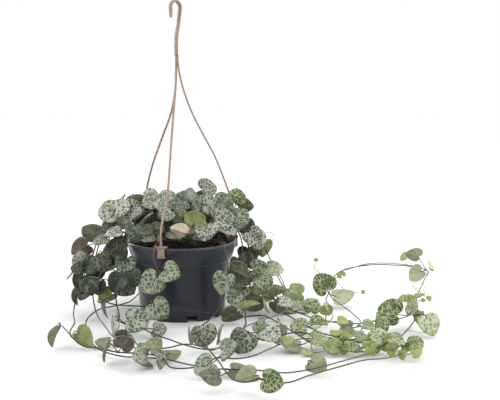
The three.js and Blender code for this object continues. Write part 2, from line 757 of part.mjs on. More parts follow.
function bladePoints(leaf) {
  const { root, along, normal, size } = leaf;
  const across = cross(along, normal);
  const at = (u, v) => add(add(root, scale(across, u * size)), add(
    scale(along, v * size),
    scale(normal, BLADE.fold * Math.abs(u) * size - BLADE.droop * v * v * size * size),
  ));
  const spread = [];
  const low = HEART[1][1];
  const high = HEART[HEART.length - 1][1];
  for (let row = 0; row < BLADE_ROWS; row += 1) {
    const v = low + ((high - low) * (row + 0.5)) / BLADE_ROWS;
    const half = heartWidth(v);
    const count = Math.max(1, Math.ceil((half * size) / SAMPLE_PITCH));
    for (let i = -count; i <= count; i += 1) spread.push(at((half * i) / count, v));
  }
  const rim = HEART.flatMap(([u, v]) => (u === 0 ? [at(0, v)] : [at(u, v), at(-u, v)]));
  return { rim, spread };
}

// How a leaf's place is searched: the draws move and turn it further with each try, and the
// later tries make it smaller.
const TRIES = 400;
const SMALLER = [1, 1, 0.9, 0.8];
const LOOSE = { from: 6, each: 0.1 };
const REACH_DRAW = { from: 3, each: 0.04 };
const STAND_DRAW = { middle: 0.3, each: 0.08 };
const SHIFT_DRAW = 0.06;
const FLOOR_GAP = 0.5 + BLADE.thickness;
const MOST_LIFT = 18;
const NODE_REACH = 5;
const LEAF_SEED = 2024;

// The leaf of one draw: its stalk leaves the stem towards the leaf, and it lies above the surface.
function tryLeaf(node, pose, size, attempt, random) {
  const loose = (LOOSE.from + LOOSE.each * attempt) * DEGREE;
  const axis = unit([random() - 0.5, random() - 0.5, random() - 0.5]);
  const turn = (random() * 2 - 1) * loose;
  const along = turnAbout(pose.along, axis, turn);
  const normal = turnAbout(pose.normal, axis, turn);
  const reach = PETIOLE.length + random() * (REACH_DRAW.from + REACH_DRAW.each * attempt);
  const stand = PETIOLE.stand + pose.out + (random() - STAND_DRAW.middle) * STAND_DRAW.each * attempt;
  const shift = scale(cross(along, normal), (random() - 0.5) * SHIFT_DRAW * attempt);
  let root = add(add(node, shift), add(scale(along, reach), scale(normal, stand)));
  const lowest = Math.min(...bladePoints({ root, along, normal, size }).rim.map((p) => p[2]));
  const lift = Math.max(0, FLOOR_GAP - lowest);
  root = add(root, [0, 0, lift]);
  return { node, root, along, normal, size, lift };
}

// The line of a leaf's stalk. It runs straight to a stem that is well behind the notch, and
// otherwise first leaves along the midrib.
const BEHIND = -0.6;

function petiolePoints(leaf) {
  const { node, root, along, normal } = leaf;
  if (dot(unit(sub(node, root)), along) < BEHIND) return [root, node];
  return [root, add(root, add(scale(along, -PETIOLE.elbow), scale(normal, -1))), node];
}

const between = (a, b, share) => add(scale(a, 1 - share), scale(b, share));

// Points along a leaf's stalk, short of the notch and of the stem.
function stalkPoints(leaf) {
  const line = petiolePoints(leaf);
  const points = [];
  for (let i = 1; i < line.length; i += 1) {
    const count = Math.max(2, Math.ceil(distance(line[i - 1], line[i]) / PETIOLE.step));
    for (let j = 1; j < count; j += 1) points.push(between(line[i - 1], line[i], j / count));
  }
  return points;
}

function leafIsClear(leaf, occupied, vine) {
  if (leaf.lift > MOST_LIFT) return false;
  const { rim, spread } = bladePoints(leaf);
  const atNode = ({ vine: other, stem }) => (
    other === vine && stem && distance(stem, leaf.node) < NODE_REACH
  );
  const bladeBlocked = (p) => inPot(p, WIDE) || occupied.touches(p, WIDE, atNode);
  if (rim.some(bladeBlocked) || spread.some(bladeBlocked)) return false;
  return !stalkPoints(leaf).some((p) => inPot(p, THIN) || occupied.touches(p, THIN, atNode));
}

function placeLeaf(node, pose, size, occupied, vine, random) {
  for (let attempt = 0; attempt < TRIES; attempt += 1) {
    const smaller = SMALLER[Math.floor((attempt * SMALLER.length) / TRIES)];
    const leaf = tryLeaf(node, pose, size * smaller, attempt, random);
    if (leafIsClear(leaf, occupied, vine)) {
      const { rim, spread } = bladePoints(leaf);
      for (const p of [...rim, ...spread]) occupied.add(p, WIDE, { vine });
      for (const p of stalkPoints(leaf)) occupied.add(p, THIN, { vine });
      return leaf;
    }
  }
  return null;
}

// Lays every stem, then sets the listed leaves, then the drawn ones.
function layOut() {
  const occupied = new Occupied();
  for (const strand of STRANDS) {
    const { samples } = sampleRoute(strandRoute(strand));
    for (const p of [...samples, ...clipSamples(strand.angle)]) {
      occupied.add(p, STRAND_REACH, { vine: 'hanger' });
    }
  }
  const laid = [];
  const roots = Object.values(VINES).map((route) => route[0]);
  const plants = [];
  for (const [name, route] of Object.entries({ ...VINES, ...sprigRoutes(roots) })) {
    const { samples, knots } = sampleRoute(rootedRoute(route));
    layOver(samples, laid);
    laid.push(...samples);
    for (const p of samples) occupied.add(p, THIN, { vine: name, stem: p });
    plants.push({ name, route, samples, knots, leaves: [] });
  }
  const random = randomStream(LEAF_SEED);
  for (const listed of [true, false]) {
    for (const plant of plants) {
      plant.route.forEach((point, i) => {
        const [, , , size, looks] = point;
        if (!size || Boolean(looks) !== listed) return;
        const knot = plant.knots[i + 1];
        const node = plant.samples[knot];
        const before = plant.samples[Math.max(0, knot - 1)];
        const after = plant.samples[Math.min(plant.samples.length - 1, knot + 1)];
        const direction = unit(sub(after, before));
        for (const side of [1, -1]) {
          const look = listed ? looks.split(' ')[side > 0 ? 0 : 1] : null;
          if (look === '-') continue;
          const pose = listed ? posed(look) : drawnPose(node, direction, side, random);
          const leaf = placeLeaf(node, pose, size, occupied, plant.name, random);
          if (leaf) plant.leaves.push(leaf);
        }
      });
    }
  }
  return plants.filter((plant) => plant.leaves.length > 0);
}

// ---------------------------------------------------------------- solids of the plant

const stemShape = regularShape(STEM.radius, STEM.sides);

// The four corners of a stalk's section: left and right, on the upper and on the lower side.
function stalkCorners(centre, across, normal, halfWidth, halfHeight) {
  return [halfHeight, -halfHeight].map((rise) => [-halfWidth, halfWidth].map(
    (side) => add(centre, add(scale(across, side), scale(normal, rise))),
  ));
}

// A leaf as one closed shell: a heart-shaped blade of even thickness, folded up a little along
// its midrib, and its stalk, which runs from the notch into the stem.
function makeLeaf(leaf) {
  const { root, along, normal, size } = leaf;
  const across = cross(along, normal);
  const positions = [];
  const corner = (p) => positions.push(...p) / 3 - 1;
  const right = HEART.slice(1, -1);
  const left = right.map(([u, v]) => [-u, v]).reverse();
  const onBlade = ([u, v], side) => add(add(root, scale(across, u * size)), add(
    scale(along, v * size),
    scale(normal, BLADE.fold * Math.abs(u) * size - BLADE.droop * v * v * size * size
      + side * BLADE.thickness * 0.5),
  ));
  const notch = stalkCorners(root, across, normal, PETIOLE.half, BLADE.thickness * 0.5);
  const faces = [1, -1].map((side, i) => {
    const [notchLeft, notchRight] = notch[i];
    const outline = [...right, HEART.at(-1), ...left].map((point) => onBlade(point, side));
    return [notchRight, ...outline, notchLeft].map(corner);
  });
  const [upper, lower] = faces;
  const index = [];
  const tip = right.length + 1;
  const end = upper.length - 1;
  // Each half is a fan from its own side of the notch, and one face joins the two at the tip.
  for (let i = 1; i < end - 1; i += 1) {
    const hub = i < tip ? 0 : end;
    index.push(upper[hub], upper[i], upper[i + 1]);
    index.push(lower[hub], lower[i + 1], lower[i]);
  }
  index.push(upper[0], upper[tip], upper[end]);
  index.push(lower[0], lower[end], lower[tip]);
  for (let i = 0; i < end; i += 1) {
    index.push(upper[i], lower[i], upper[i + 1]);
    index.push(upper[i + 1], lower[i], lower[i + 1]);
  }
  // The stalk, ring by ring: upper left, upper right, lower right, lower left. It ends in three
  // corners inside the stem.
  let ring = [upper[end], upper[0], lower[0], lower[end]];
  let heading = scale(along, -1);
  let sideways = across;
  let rise = normal;
  const line = petiolePoints(leaf);
  for (let i = 1; i < line.length; i += 1) {
    const last = i === line.length - 1;
    const before = unit(sub(line[i], line[i - 1]));
    const next = last ? before : unit(add(before, unit(sub(line[i + 1], line[i]))));
    sideways = carried(sideways, heading, next);
    rise = carried(rise, heading, next);
    heading = next;
    const half = last ? PETIOLE.endHalf : PETIOLE.half;
    const [[a, b], [d, c]] = stalkCorners(line[i], sideways, rise, half, half);
    const corners = (last ? [a, b, between(c, d, 0.5)] : [a, b, c, d]).map(corner);
    if (last) corners.push(corners[2]);
    for (let k = 0; k < 4; k += 1) {
      const l = (k + 1) % 4;
      index.push(ring[k], corners[k], ring[l]);
      if (corners[k] !== corners[l]) index.push(ring[l], corners[k], corners[l]);
    }
    ring = corners;
  }
  index.push(ring[0], ring[2], ring[1]);
  const geometry = new THREE.BufferGeometry();
  geometry.setAttribute('position', new THREE.Float32BufferAttribute(positions, 3));
  geometry.setIndex(index);
  return geometry;
}

// The fewest of the points that keep a line within the tolerance of all of them.
function thinned(points, tolerance) {
  const first = points[0];
  const last = points.at(-1);
  const line = unit(sub(last, first));
  let worst = 0;
  let away = tolerance;
  points.slice(1, -1).forEach((p, i) => {
    const off = length(cross(sub(p, first), line));
    if (off > away) {
      away = off;
      worst = i + 1;
    }
  });
  if (worst === 0) return [first, last];
  const before = thinned(points.slice(0, worst + 1), tolerance);
  return [...before, ...thinned(points.slice(worst), tolerance).slice(1)];
}

// The stem's points for its solid: every point of its route, and more where it bends.
function stemPoints({ samples, knots }) {
  const points = [samples[0]];
  for (let i = 1; i < knots.length; i += 1) {
    points.push(...thinned(samples.slice(knots[i - 1], knots[i] + 1), STEM.tolerance).slice(1));
  }
  return points;
}

function makeStem(plant) {
  const path = new Chain(stemPoints(plant));
  const options = { steps: path.last, bevelEnabled: false, extrudePath: path };
  return new THREE.ExtrudeGeometry(stemShape, options);
}

function makePlant(plant) {
  let whole = toSolid(makeStem(plant));
  for (const leaf of plant.leaves) whole = whole.add(toSolid(makeLeaf(leaf)));
  const bodies = whole.decompose();
  bodies.sort((a, b) => b.volume() - a.volume());
  return toGeometry(bodies[0]);
}

function makeSoil(plants) {
  const low = floorTop + SOIL.gap;
  const knees = POT_INSIDE.map(([, z]) => z).filter((z) => z > low && z < SOIL.level).reverse();
  const wall = [low, ...knees, SOIL.level].map((z) => [radiusAt(POT_INSIDE, z) - SOIL.gap, z]);
  const profile = [[0, low], ...wall, [0, SOIL.level + SOIL.crownRise]];
  const top = SOIL.level + SOIL.crownRise;
  const holes = plants.map(({ samples }) => toSolid(
    post(SOIL.holeRadius, top - SOIL.holeDepth, top + 4, SOIL.holeSides, samples[0][0], samples[0][1]),
  ));
  return toGeometry(toSolid(turned(profile, POT.sides)).subtract(joinAll(holes)));
}

// ---------------------------------------------------------------- materials and assembly

const finish = (color, roughness) => new THREE.MeshStandardMaterial({ color, roughness, metalness: 0 });
const potPlastic = finish(0x3a3d42, 0.45);
const hangerPlastic = finish(0x9b7a66, 0.5);
const soilMix = finish(0x1d1713, 0.95);
const foliage = finish(0x7f9a78, 0.55);

const group = new THREE.Group();

function addNode(name, geometry, material) {
  const mesh = new THREE.Mesh(geometry, material);
  mesh.name = name;
  group.add(mesh);
}

const plants = layOut();
addNode('pot', makePot(), potPlastic);
addNode('soil', makeSoil(plants), soilMix);
addNode('hanger', makeHanger(), hangerPlastic);
for (const plant of plants) addNode(plant.name, makePlant(plant), foliage);

export default group;
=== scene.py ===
"""A string of hearts (Ceropegia woodii) in its hanging pot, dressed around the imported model.

Layout numbers are millimetres; every mesh is made in metres. +Z is up, -Y faces the camera,
and the origin is the centre of the pot's foot, on the surface that the pot stands on.
"""

import itertools
import math

import bpy
import numpy as np
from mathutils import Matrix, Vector


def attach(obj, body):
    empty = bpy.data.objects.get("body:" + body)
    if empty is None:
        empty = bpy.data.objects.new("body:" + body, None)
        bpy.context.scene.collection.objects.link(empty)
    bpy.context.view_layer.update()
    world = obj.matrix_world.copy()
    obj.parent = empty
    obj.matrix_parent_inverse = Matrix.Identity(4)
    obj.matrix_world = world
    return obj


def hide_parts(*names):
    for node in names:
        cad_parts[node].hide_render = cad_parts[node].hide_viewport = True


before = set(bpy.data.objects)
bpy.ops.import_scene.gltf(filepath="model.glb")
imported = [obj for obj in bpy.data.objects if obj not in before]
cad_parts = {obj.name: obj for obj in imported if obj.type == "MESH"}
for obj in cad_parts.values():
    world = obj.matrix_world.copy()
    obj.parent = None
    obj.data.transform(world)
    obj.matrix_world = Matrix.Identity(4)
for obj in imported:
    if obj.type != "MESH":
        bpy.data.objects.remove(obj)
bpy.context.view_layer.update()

MM = 0.001

# ---------------------------------------------------------------- sizes shared with the solids

# The pot's sizes, in mm and in degrees round its axis.
POT = {
    "height": 82, "rim_radius": 60, "lip_width": 2.2, "collar_height": 20.5,
    "collar_bottom_radius": 54.8, "body_top_radius": 53.4, "body_bottom_radius": 47.2,
    "wall": 1.8, "foot_height": 8, "foot_radius": 46.2, "foot_wall": 3.6,
    "floor_thickness": 3, "hub_radius": 8, "rib_width": 2.4, "rib_angles": (-10, 80, 170, 260),
    "notch_width": 12, "notch_height": 6.5,
    "notch_angles": (-72, -38, 18, 52, 108, 142, 198, 232),
    "drain_radius": 4, "drain_ring_radius": 28, "drain_count": 6, "solid_sides": 28,
}
SOIL = {"level": 69, "crown_rise": 1.5, "gap": 0.3, "hole_depth": 8}
HANGER = {
    "top": 340, "hook_radius": 6.5, "hook_turn": 45, "hook_tip": 11, "strip_width": 5,
    "strip_thickness": 3, "strand_width": 2.6, "strand_thickness": 1.9, "clip_gap": 0.3,
    "clip_thickness": 1.9, "tab_width": 9, "tab_clear": 13, "wing_height": 2.6, "inner_tab": 5,
}
STEM = {"radius": 0.85, "gap": 0.9, "sample_step": 3}
PETIOLE = {"length": 4.5, "stand": 4, "elbow": 4, "under": 1, "step": 2.5}
BLADE = {"thickness": 1.5, "fold": 0.16, "droop": 0.012}
# Half of a blade in the solids, as shares of its size: (across, along the rib).
HEART = ((0, 0), (0.3, -0.17), (0.52, 0.1), (0.42, 0.5), (0, 0.84))

# Each point of a route is (x, y, z) or, where a pair of leaves grows, (x, y, z, leaf size, looks).
# A look is a letter and a clock hour for the tip of the leaf, seen from the front (-Y): f shows
# its face and b its back, h and g do so leaning over, l and r show a face that is turned to the
# left or right, e shows an edge, and u lies face up and d face down, with 12 pointing away.
# A + and a number set the leaf so many millimetres further out, and - is no leaf.
VINES = {
    "left_outer": [
        (-30, -6, 72), (-40, -8, 86), (-60, -10, 91), (-77, -12, 88),
        (-90, -14, 82, 23, "b10.7 b8.6"), (-96, -16, 68, 20, "u8 -"),
        (-104, -18, 53, 22, "e8 f6.4"), (-111, -20, 37, 22, "- e6"), (-113, -24, 24),
        (-115, -30, 11), (-104, -78, 10), (-94, -138, 13, 23, "b3.9 e7"), (-81, -152, 9),
        (-64, -164, 10), (-43, -182, 12, 19, "e6.6 b1"), (-17, -190, 13, 18, "d1.5 r9.3"),
        (-3, -196, 12, 16, "r6 d3.5"), (9, -218, 10), (29, -216, 10),
        (48, -206, 15, 20, "f7.6 l1.7"), (61, -200, 12), (76, -188, 10), (93, -166, 10),
        (113, -142, 10, 13), (133, -128, 8), (150, -133, 7, 11),
    ],
    "left_inner": [
        (-24, 10, 72), (-34, 12, 92), (-52, 2, 108), (-66, -12, 113, 24, "f9 f2.7"),
        (-80, -10, 98), (-90, -4, 80), (-95, -4, 63, 25, "f6.4+7 f4.7"),
        (-98, -8, 43, 22, "f7 -"), (-97, -16, 24), (-90, -39, 12), (-72, -89, 10),
        (-53, -133, 9, 16, "d8.6 -"), (-35, -160, 10), (-16, -175, 13, 17, "d10 d3"),
        (-1, -170, 12), (15, -162, 13), (29, -170, 14, 17, "e11.3 -"), (40, -176, 12),
        (50, -166, 13, 19, "- e12.2"), (60, -140, 11), (80, -122, 9, 13),
    ],
    "left_red": [
        (-26, -16, 72), (-34, -17, 94), (-39, -18, 110), (-48, -19, 109, 21, "b8.3 f6"),
        (-57, -18, 97), (-62, -19, 84), (-64, -21, 74), (-66, -23, 61, 24, "f11.5 r5"),
        (-70, -27, 46, 26, "f4.4+3 -"), (-69, -36, 29, 21, "b8 e6"), (-63, -52, 12),
        (-50, -103, 16, 24, "l7.4 f3+5"), (-34, -107, 13, 18, "f3.6+3 u1.5"), (-18, -126, 12),
        (0, -142, 11), (15, -149, 8), (34, -152, 5), (48, -146, 5), (58, -122, 7), (69, -94, 9),
        (83, -76, 10, 18, "l4.5 -"), (101, -62, 12), (116, -40, 13, 19, "u3 b2"),
    ],
    "back_round_left": [
        (-18, 24, 72), (-24, 36, 90), (-31, 54, 91), (-41, 66, 74, 22), (-47, 72, 46, 22),
        (-52, 66, 16), (-62, 34, 4), (-75, 11, 4), (-90, -12, 6), (-97, -41, 5), (-93, -79, 4),
        (-80, -122, 4), (-62, -154, 4), (-40, -170, 4), (-19, -182, 7, 17, "e4 b8.4"),
        (1, -190, 8), (20, -200, 7), (43, -206, 5), (54, -216, 8, 18, "d3.4 -"), (84, -222, 9),
        (104, -228, 9), (124, -226, 11, 19, "b3.9 -"), (158, -196, 9), (187, -172, 9),
        (204, -158, 9, 12),
    ],
    "front": [
        (-14, -30, 72), (-18, -44, 86), (-22, -58, 87), (-24, -65, 79), (-22, -66, 66),
        (-17, -67, 56, 25, "f7.6 l3+3"), (-23, -66, 42), (-28, -66, 30, 24, "f4.6 -"),
        (-32, -66, 14), (-29, -84, 5),
    ],
    "right_front": [
        (22, -26, 72), (33, -36, 86), (43, -45, 87), (49, -49, 78), (51, -50, 68),
        (52, -51, 58, 25, "f6.6 b3.6"), (49, -54, 36), (44, -60, 22), (34, -82, 14),
        (25, -144, 18, 26, "f5.7 -"), (42, -180, 9), (50, -220, 14),
        (56, -250, 17, 18, "d8.8 -"), (62, -258, 14), (72, -264, 14),
        (82, -262, 16, 19, "f3.4 b8.6"), (102, -260, 12), (124, -237, 10), (154, -208, 8),
        (176, -192, 8), (197, -186, 8), (212, -172, 8, 11), (216, -158, 10, 17, "f2.8 -"),
    ],
    "foot_runner": [
        (-37, -22, 72), (-46, -34, 84), (-57, -43, 85), (-70, -47, 76), (-79, -50, 60),
        (-84, -52, 42), (-82, -54, 29), (-68, -56, 23), (-50, -55, 21), (-30, -55, 20),
        (-12, -56, 18), (8, -56, 16), (26, -55, 14), (44, -58, 12), (64, -66, 12, 22, "b8.3 e2"),
        (84, -66, 12), (105, -84, 10, 15, "e5 u2"), (116, -110, 10),
        (130, -146, 10, 19, "d9 u3.2"), (145, -152, 8), (161, -154, 8, 16, "f9 u4"),
        (178, -160, 7, 11),
    ],
    "right_drape": [
        (34, -10, 72), (46, -13, 88), (60, -17, 95), (66, -22, 84), (67, -26, 68),
        (73, -28, 52, 24, "b7 f3"), (80, -26, 42), (90, -24, 31),
        (101, -20, 20, 19, "b4.4 e5.4"), (110, -37, 10), (121, -63, 9),
        (134, -92, 9, 18, "u3 f9"), (146, -110, 8), (162, -120, 7, 12),
    ],
    "right_loop": [
        (30, 8, 72), (44, 4, 90), (62, -2, 92), (73, -4, 76, 24, "b6 f1.7"), (75, -6, 50),
        (75, -10, 34, 21, "d3.6 f8"), (72, -20, 20, 22, "b4 d9"), (70, -44, 13), (71, -92, 14),
        (74, -150, 20, 24, "f7 f5"), (88, -150, 13), (101, -142, 15, 22, "b5.8 -"),
        (118, -130, 12), (135, -128, 10), (156, -138, 11), (171, -142, 10, 14), (186, -150, 10),
        (202, -152, 12, 16, "f10 u4"), (216, -138, 12), (229, -116, 14),
        (240, -92, 17, 18, "l11.5 r5"), (244, -64, 20), (260, -12, 24), (276, 34, 28),
        (287, 74, 31, 22, "b8 b9.6"), (266, 88, 33), (249, 94, 33), (228, 96, 33), (208, 95, 31),
        (188, 83, 29), (172, 56, 24), (165, 12, 17, 26, "f10.8 d3"), (174, -42, 17),
        (182, -66, 15), (186, -90, 14), (180, -112, 15, 14),
    ],
    "right_upper": [
        (18, 22, 72), (36, 28, 92), (58, 26, 98), (79, 17, 76), (83, 13, 58),
        (88, 9, 46, 21, "h3 e5.5"), (94, 5, 31, 20, "e6.6 d4"), (101, 2, 21),
        (110, -4, 13, 21, "u2.7 e4"), (120, -26, 9), (130, -46, 10, 20, "h12 -"), (141, -56, 8),
        (153, -66, 8, 15, "e8.3 b12.3"), (167, -74, 8), (185, -80, 9),
        (202, -84, 13, 23, "r7.2 -"), (220, -90, 16), (236, -84, 18, 26, "f9.2 f5"),
        (244, -60, 20, 13),
    ],
    "right_pale": [
        (40, 2, 72), (50, 4, 94), (68, 5, 98), (87, 8, 80, 22, "b6 -"), (97, 14, 58),
        (104, 16, 42), (112, 16, 26), (124, 10, 14, 17, "h1 e5"),
    ],
    "back_right": [
        (12, 32, 72), (20, 46, 90), (28, 60, 90), (36, 70, 72, 22), (42, 74, 48, 22),
        (48, 74, 24), (66, 62, 8), (86, 42, 6, 19), (108, 26, 6), (132, 4, 6, 15),
    ],
    "back_middle": [
        (-4, 34, 72), (-4, 48, 90), (-4, 62, 90), (-4, 70, 74, 24), (-2, 74, 52, 24),
        (2, 76, 30), (10, 84, 8), (30, 92, 5, 18), (54, 88, 5),
    ],
    "back_left": [
        (-34, 18, 72), (-44, 26, 92), (-58, 36, 92), (-68, 42, 78, 24), (-74, 44, 56, 22),
        (-80, 42, 34), (-90, 36, 10), (-100, 22, 6),
    ],
    "crown_1": [
        (-38, 3, 72), (-42, -1, 94), (-48, -6, 113, 18, "b12.4 b3"),
        (-59, 8, 110, 21, "f1 e12.6"),
    ],
    "crown_2": [
        (-16, -2, 72), (-21, 2, 96), (-30, 4, 113, 21, "f11 f1"), (-31, -10, 118),
        (-29, -24, 114, 21, "e7.5 b4"),
    ],
    "crown_3": [
        (-6, -8, 72), (-10, -1, 96), (-18, 2, 113, 21, "f1.3 f4.2"),
        (-19, -16, 118, 22, "f8 f5.6"),
    ],
    "crown_4": [
        (8, -4, 72), (6, -6, 98), (6, -6, 116, 24, "r1.2 f8.6"), (16, 6, 128, 25, "f1.5 f4.4"),
    ],
    "crown_5": [
        (27, -4, 72), (37, 2, 98), (45, 4, 111, 22, "f12 f9.2"), (58, 18, 113, 21, "f12.2 b2.7"),
    ],
    "crown_6": [
        (21, -13, 72), (29, -26, 94), (34, -36, 108, 25, "f2.7 h6.3"), (45, -26, 104),
        (54, -10, 98, 24, "f1.6 f11.7"),
    ],
    "crown_7": [
        (3, -24, 72), (7, -36, 84), (9, -42, 90, 22, "u3 u9.5"), (12, -36, 98),
        (16, -30, 101, 23, "g12 b9.5"),
    ],
    "crown_8": [
        (-24, -28, 72), (-23, -28, 81), (-21, -27, 89, 21, "u9 u3.3"),
    ],
    "crown_9": [
        (-44, 2, 72), (-50, 0, 92), (-61, -4, 103, 22, "l8 u9.6"),
    ],
}

# ---------------------------------------------------------------- vectors and draws


def add(a, b):
    return (a[0] + b[0], a[1] + b[1], a[2] + b[2])


def sub(a, b):
    return (a[0] - b[0], a[1] - b[1], a[2] - b[2])


def scale(a, s):
    return (a[0] * s, a[1] * s, a[2] * s)


def dot(a, b):
    return a[0] * b[0] + a[1] * b[1] + a[2] * b[2]


def cross(a, b):
    return (a[1] * b[2] - a[2] * b[1], a[2] * b[0] - a[0] * b[2], a[0] * b[1] - a[1] * b[0])


def length(a):
    return math.sqrt(dot(a, a))


def unit(a):
    return scale(a, 1 / length(a))


def distance(a, b):
    return length(sub(a, b))


def between(a, b, share):
    return add(scale(a, 1 - share), scale(b, share))


def turn_about(vector, axis, angle):
    """The vector turned about a unit axis."""
    c = math.cos(angle)
    s = math.sin(angle)
    kept = scale(axis, dot(axis, vector) * (1 - c))
    return add(add(scale(vector, c), scale(cross(axis, vector), s)), kept)


def smooth(low, high, value):
    """0 below low, 1 above high, and a smooth rise between them."""
    x = min(max((value - low) / (high - low), 0.0), 1.0)
    return x * x * (3 - 2 * x)


class Draws:
    """A small repeatable stream of random numbers in [0, 1)."""

    def __init__(self, seed):
        self.state = seed

    def __call__(self):
        self.state = (self.state * 1664525 + 1013904223) % 2**32
        return self.state / 2**32

    def spread(self, low, high):
        return low + (high - low) * self()


UP = (0, 0, 1)


def round_point(angle, radius, z):
    """A point at an angle in degrees round the pot's axis."""
    return (radius * math.cos(math.radians(angle)), radius * math.sin(math.radians(angle)), z)


# ---------------------------------------------------------------- profiles and strands

# The section's outside from the foot up, and its inside from the rim down: (radius, height).
COLLAR_BOTTOM = POT["height"] - POT["collar_height"]
FLOOR_TOP = POT["foot_height"] + POT["floor_thickness"]
POT_OUTSIDE = [
    (POT["foot_radius"], 0),
    (POT["body_bottom_radius"], POT["foot_height"] + 1),
    (POT["body_top_radius"], COLLAR_BOTTOM - 0.6),
    (POT["collar_bottom_radius"], COLLAR_BOTTOM),
    (POT["collar_bottom_radius"] + 1.6, COLLAR_BOTTOM + 5),
    (POT["rim_radius"] - 1.4, COLLAR_BOTTOM + 12),
    (POT["rim_radius"], POT["height"] - 2),
    (POT["rim_radius"] - 0.4, POT["height"]),
]
POT_INSIDE = [
    (POT["rim_radius"] - POT["lip_width"], POT["height"]),
    (POT["rim_radius"] - POT["lip_width"] - 0.3, POT["height"] - 2),
    (POT["rim_radius"] - POT["lip_width"] - 1.2, COLLAR_BOTTOM + 12),
    (POT["collar_bottom_radius"] - POT["wall"] + 1, COLLAR_BOTTOM + 5),
    (POT["body_top_radius"] - POT["wall"], COLLAR_BOTTOM - 3),
    (POT["body_bottom_radius"] - POT["wall"], FLOOR_TOP),
]


def radius_at(profile, z):
    """Radius of a profile at a height, by straight lines between its points."""
    rising = profile if profile[0][1] < profile[-1][1] else profile[::-1]
    if z <= rising[0][1]:
        return rising[0][0]
    for (r0, z0), (r1, z1) in zip(rising, rising[1:]):
        if z <= z1:
            return r0 + (r1 - r0) * (z - z0) / (z1 - z0)
    return rising[-1][0]


FLAT = math.cos(math.pi / POT["solid_sides"])
CLIP_OUTER = POT["rim_radius"] + HANGER["clip_gap"] + HANGER["clip_thickness"] / 2
INNER_WALL = radius_at(POT_INSIDE, POT["height"] - HANGER["inner_tab"]) * FLAT
CLIP_INNER = INNER_WALL - HANGER["clip_gap"] - HANGER["clip_thickness"] / 2

# The angle of each strand's clip, and the strand's points from the shank down.
STRANDS = [
    (-106, [(-4, 0, 288), (-5, -2, 250), (-7, -8, 222), (-9, -22, 184), (-12, -40, 132)]),
    (134, [(-4, 0, 288), (-6, 3, 246), (-11, 9, 222), (-24, 22, 190), (-37, 33, 156),
           (-44, 38, 124)]),
    (14, [(-3, 0, 288), (-2, 0, 270), (3, 1, 246), (12, 2, 221), (25, 4, 195), (37, 5, 172),
          (46, 6, 149), (54, 7, 126)]),
]


STRAND_END = {"in": 0.6, "above": 18, "last": 1}


def strand_route(angle, route):
    """A strand's whole route, down to its clip."""
    return route + [
        round_point(angle, CLIP_OUTER - STRAND_END["in"], POT["height"] + STRAND_END["above"]),
        round_point(angle, CLIP_OUTER, POT["height"] + STRAND_END["last"]),
    ]


# Where a clip is sampled: from this far above the rim down, and across its wings and its tab.
CLIP_GRID = {"above": 2, "step": 3, "wing": (-6, -3, 0, 3, 6), "tab": (-3, 0, 3)}


def clip_samples(angle):
    """Points spread over the plates of a clip, and over the clear space below its tab."""
    across = round_point(angle + 90, 1, 0)
    points = []
    for radius, depth in ((CLIP_OUTER, HANGER["tab_clear"]), (CLIP_INNER, HANGER["inner_tab"])):
        for drop in range(-CLIP_GRID["above"], depth + 1, CLIP_GRID["step"]):
            middle = round_point(angle, radius, POT["height"] - drop)
            for side in CLIP_GRID["wing" if drop < HANGER["wing_height"] else "tab"]:
                points.append(add(middle, scale(across, side)))
    return points


# ---------------------------------------------------------------- routes


def route_direction(points, i):
    """The direction of a route at a point: the mean of the unit steps before and after."""
    steps = []
    if i > 0:
        steps.append(unit(sub(points[i], points[i - 1])))
    if i < len(points) - 1:
        steps.append(unit(sub(points[i + 1], points[i])))
    total = steps[0] if len(steps) == 1 else add(steps[0], steps[1])
    return scale(total, 1 / len(steps))


def sample_route(points):
    """A smooth curve through the points in steps of about 3 mm. knots[i] is the step at point i."""
    samples = []
    knots = []
    for i in range(len(points) - 1):
        span = distance(points[i], points[i + 1])
        start = scale(route_direction(points, i), span)
        end = scale(route_direction(points, i + 1), span)
        count = max(1, math.ceil(span / STEM["sample_step"]))
        knots.append(len(samples))
        for j in range(count):
            w = j / count
            w2 = w * w
            w3 = w2 * w
            # A cubic from point to point with these directions at its ends.
            samples.append([
                (2 * w3 - 3 * w2 + 1) * points[i][k] + (w3 - 2 * w2 + w) * start[k]
                + (3 * w2 - 2 * w3) * points[i + 1][k] + (w3 - w2) * end[k]
                for k in range(3)])
    knots.append(len(samples))
    samples.append(list(points[-1]))
    return samples, knots


# ---------------------------------------------------------------- the photograph's view

# Where the camera stands in mm, how far it looks down, and its focal length in pixels.
CAMERA = {"place": (75, -885, 240), "pitch": 7.37, "focal": 813, "frame": (500, 400)}
PITCH_SIN = math.sin(math.radians(CAMERA["pitch"]))
PITCH_COS = math.cos(math.radians(CAMERA["pitch"]))


def at_pixel(px, py, depth):
    """The point at y = depth that the photograph shows at a pixel."""
    right = (px - CAMERA["frame"][0] / 2) / CAMERA["focal"]
    up = (CAMERA["frame"][1] / 2 - py) / CAMERA["focal"]
    ray = (right, PITCH_COS + up * PITCH_SIN, up * PITCH_COS - PITCH_SIN)
    return add(CAMERA["place"], scale(ray, (depth - CAMERA["place"][1]) / ray[1]))


# ---------------------------------------------------------------- what is already in place

# The side of a search cell, and the room kept round stems and stalks, blades, and the hanger.
CELL = 4
THIN = 1.3
WIDE = 1.3
STRAND_REACH = 2.2


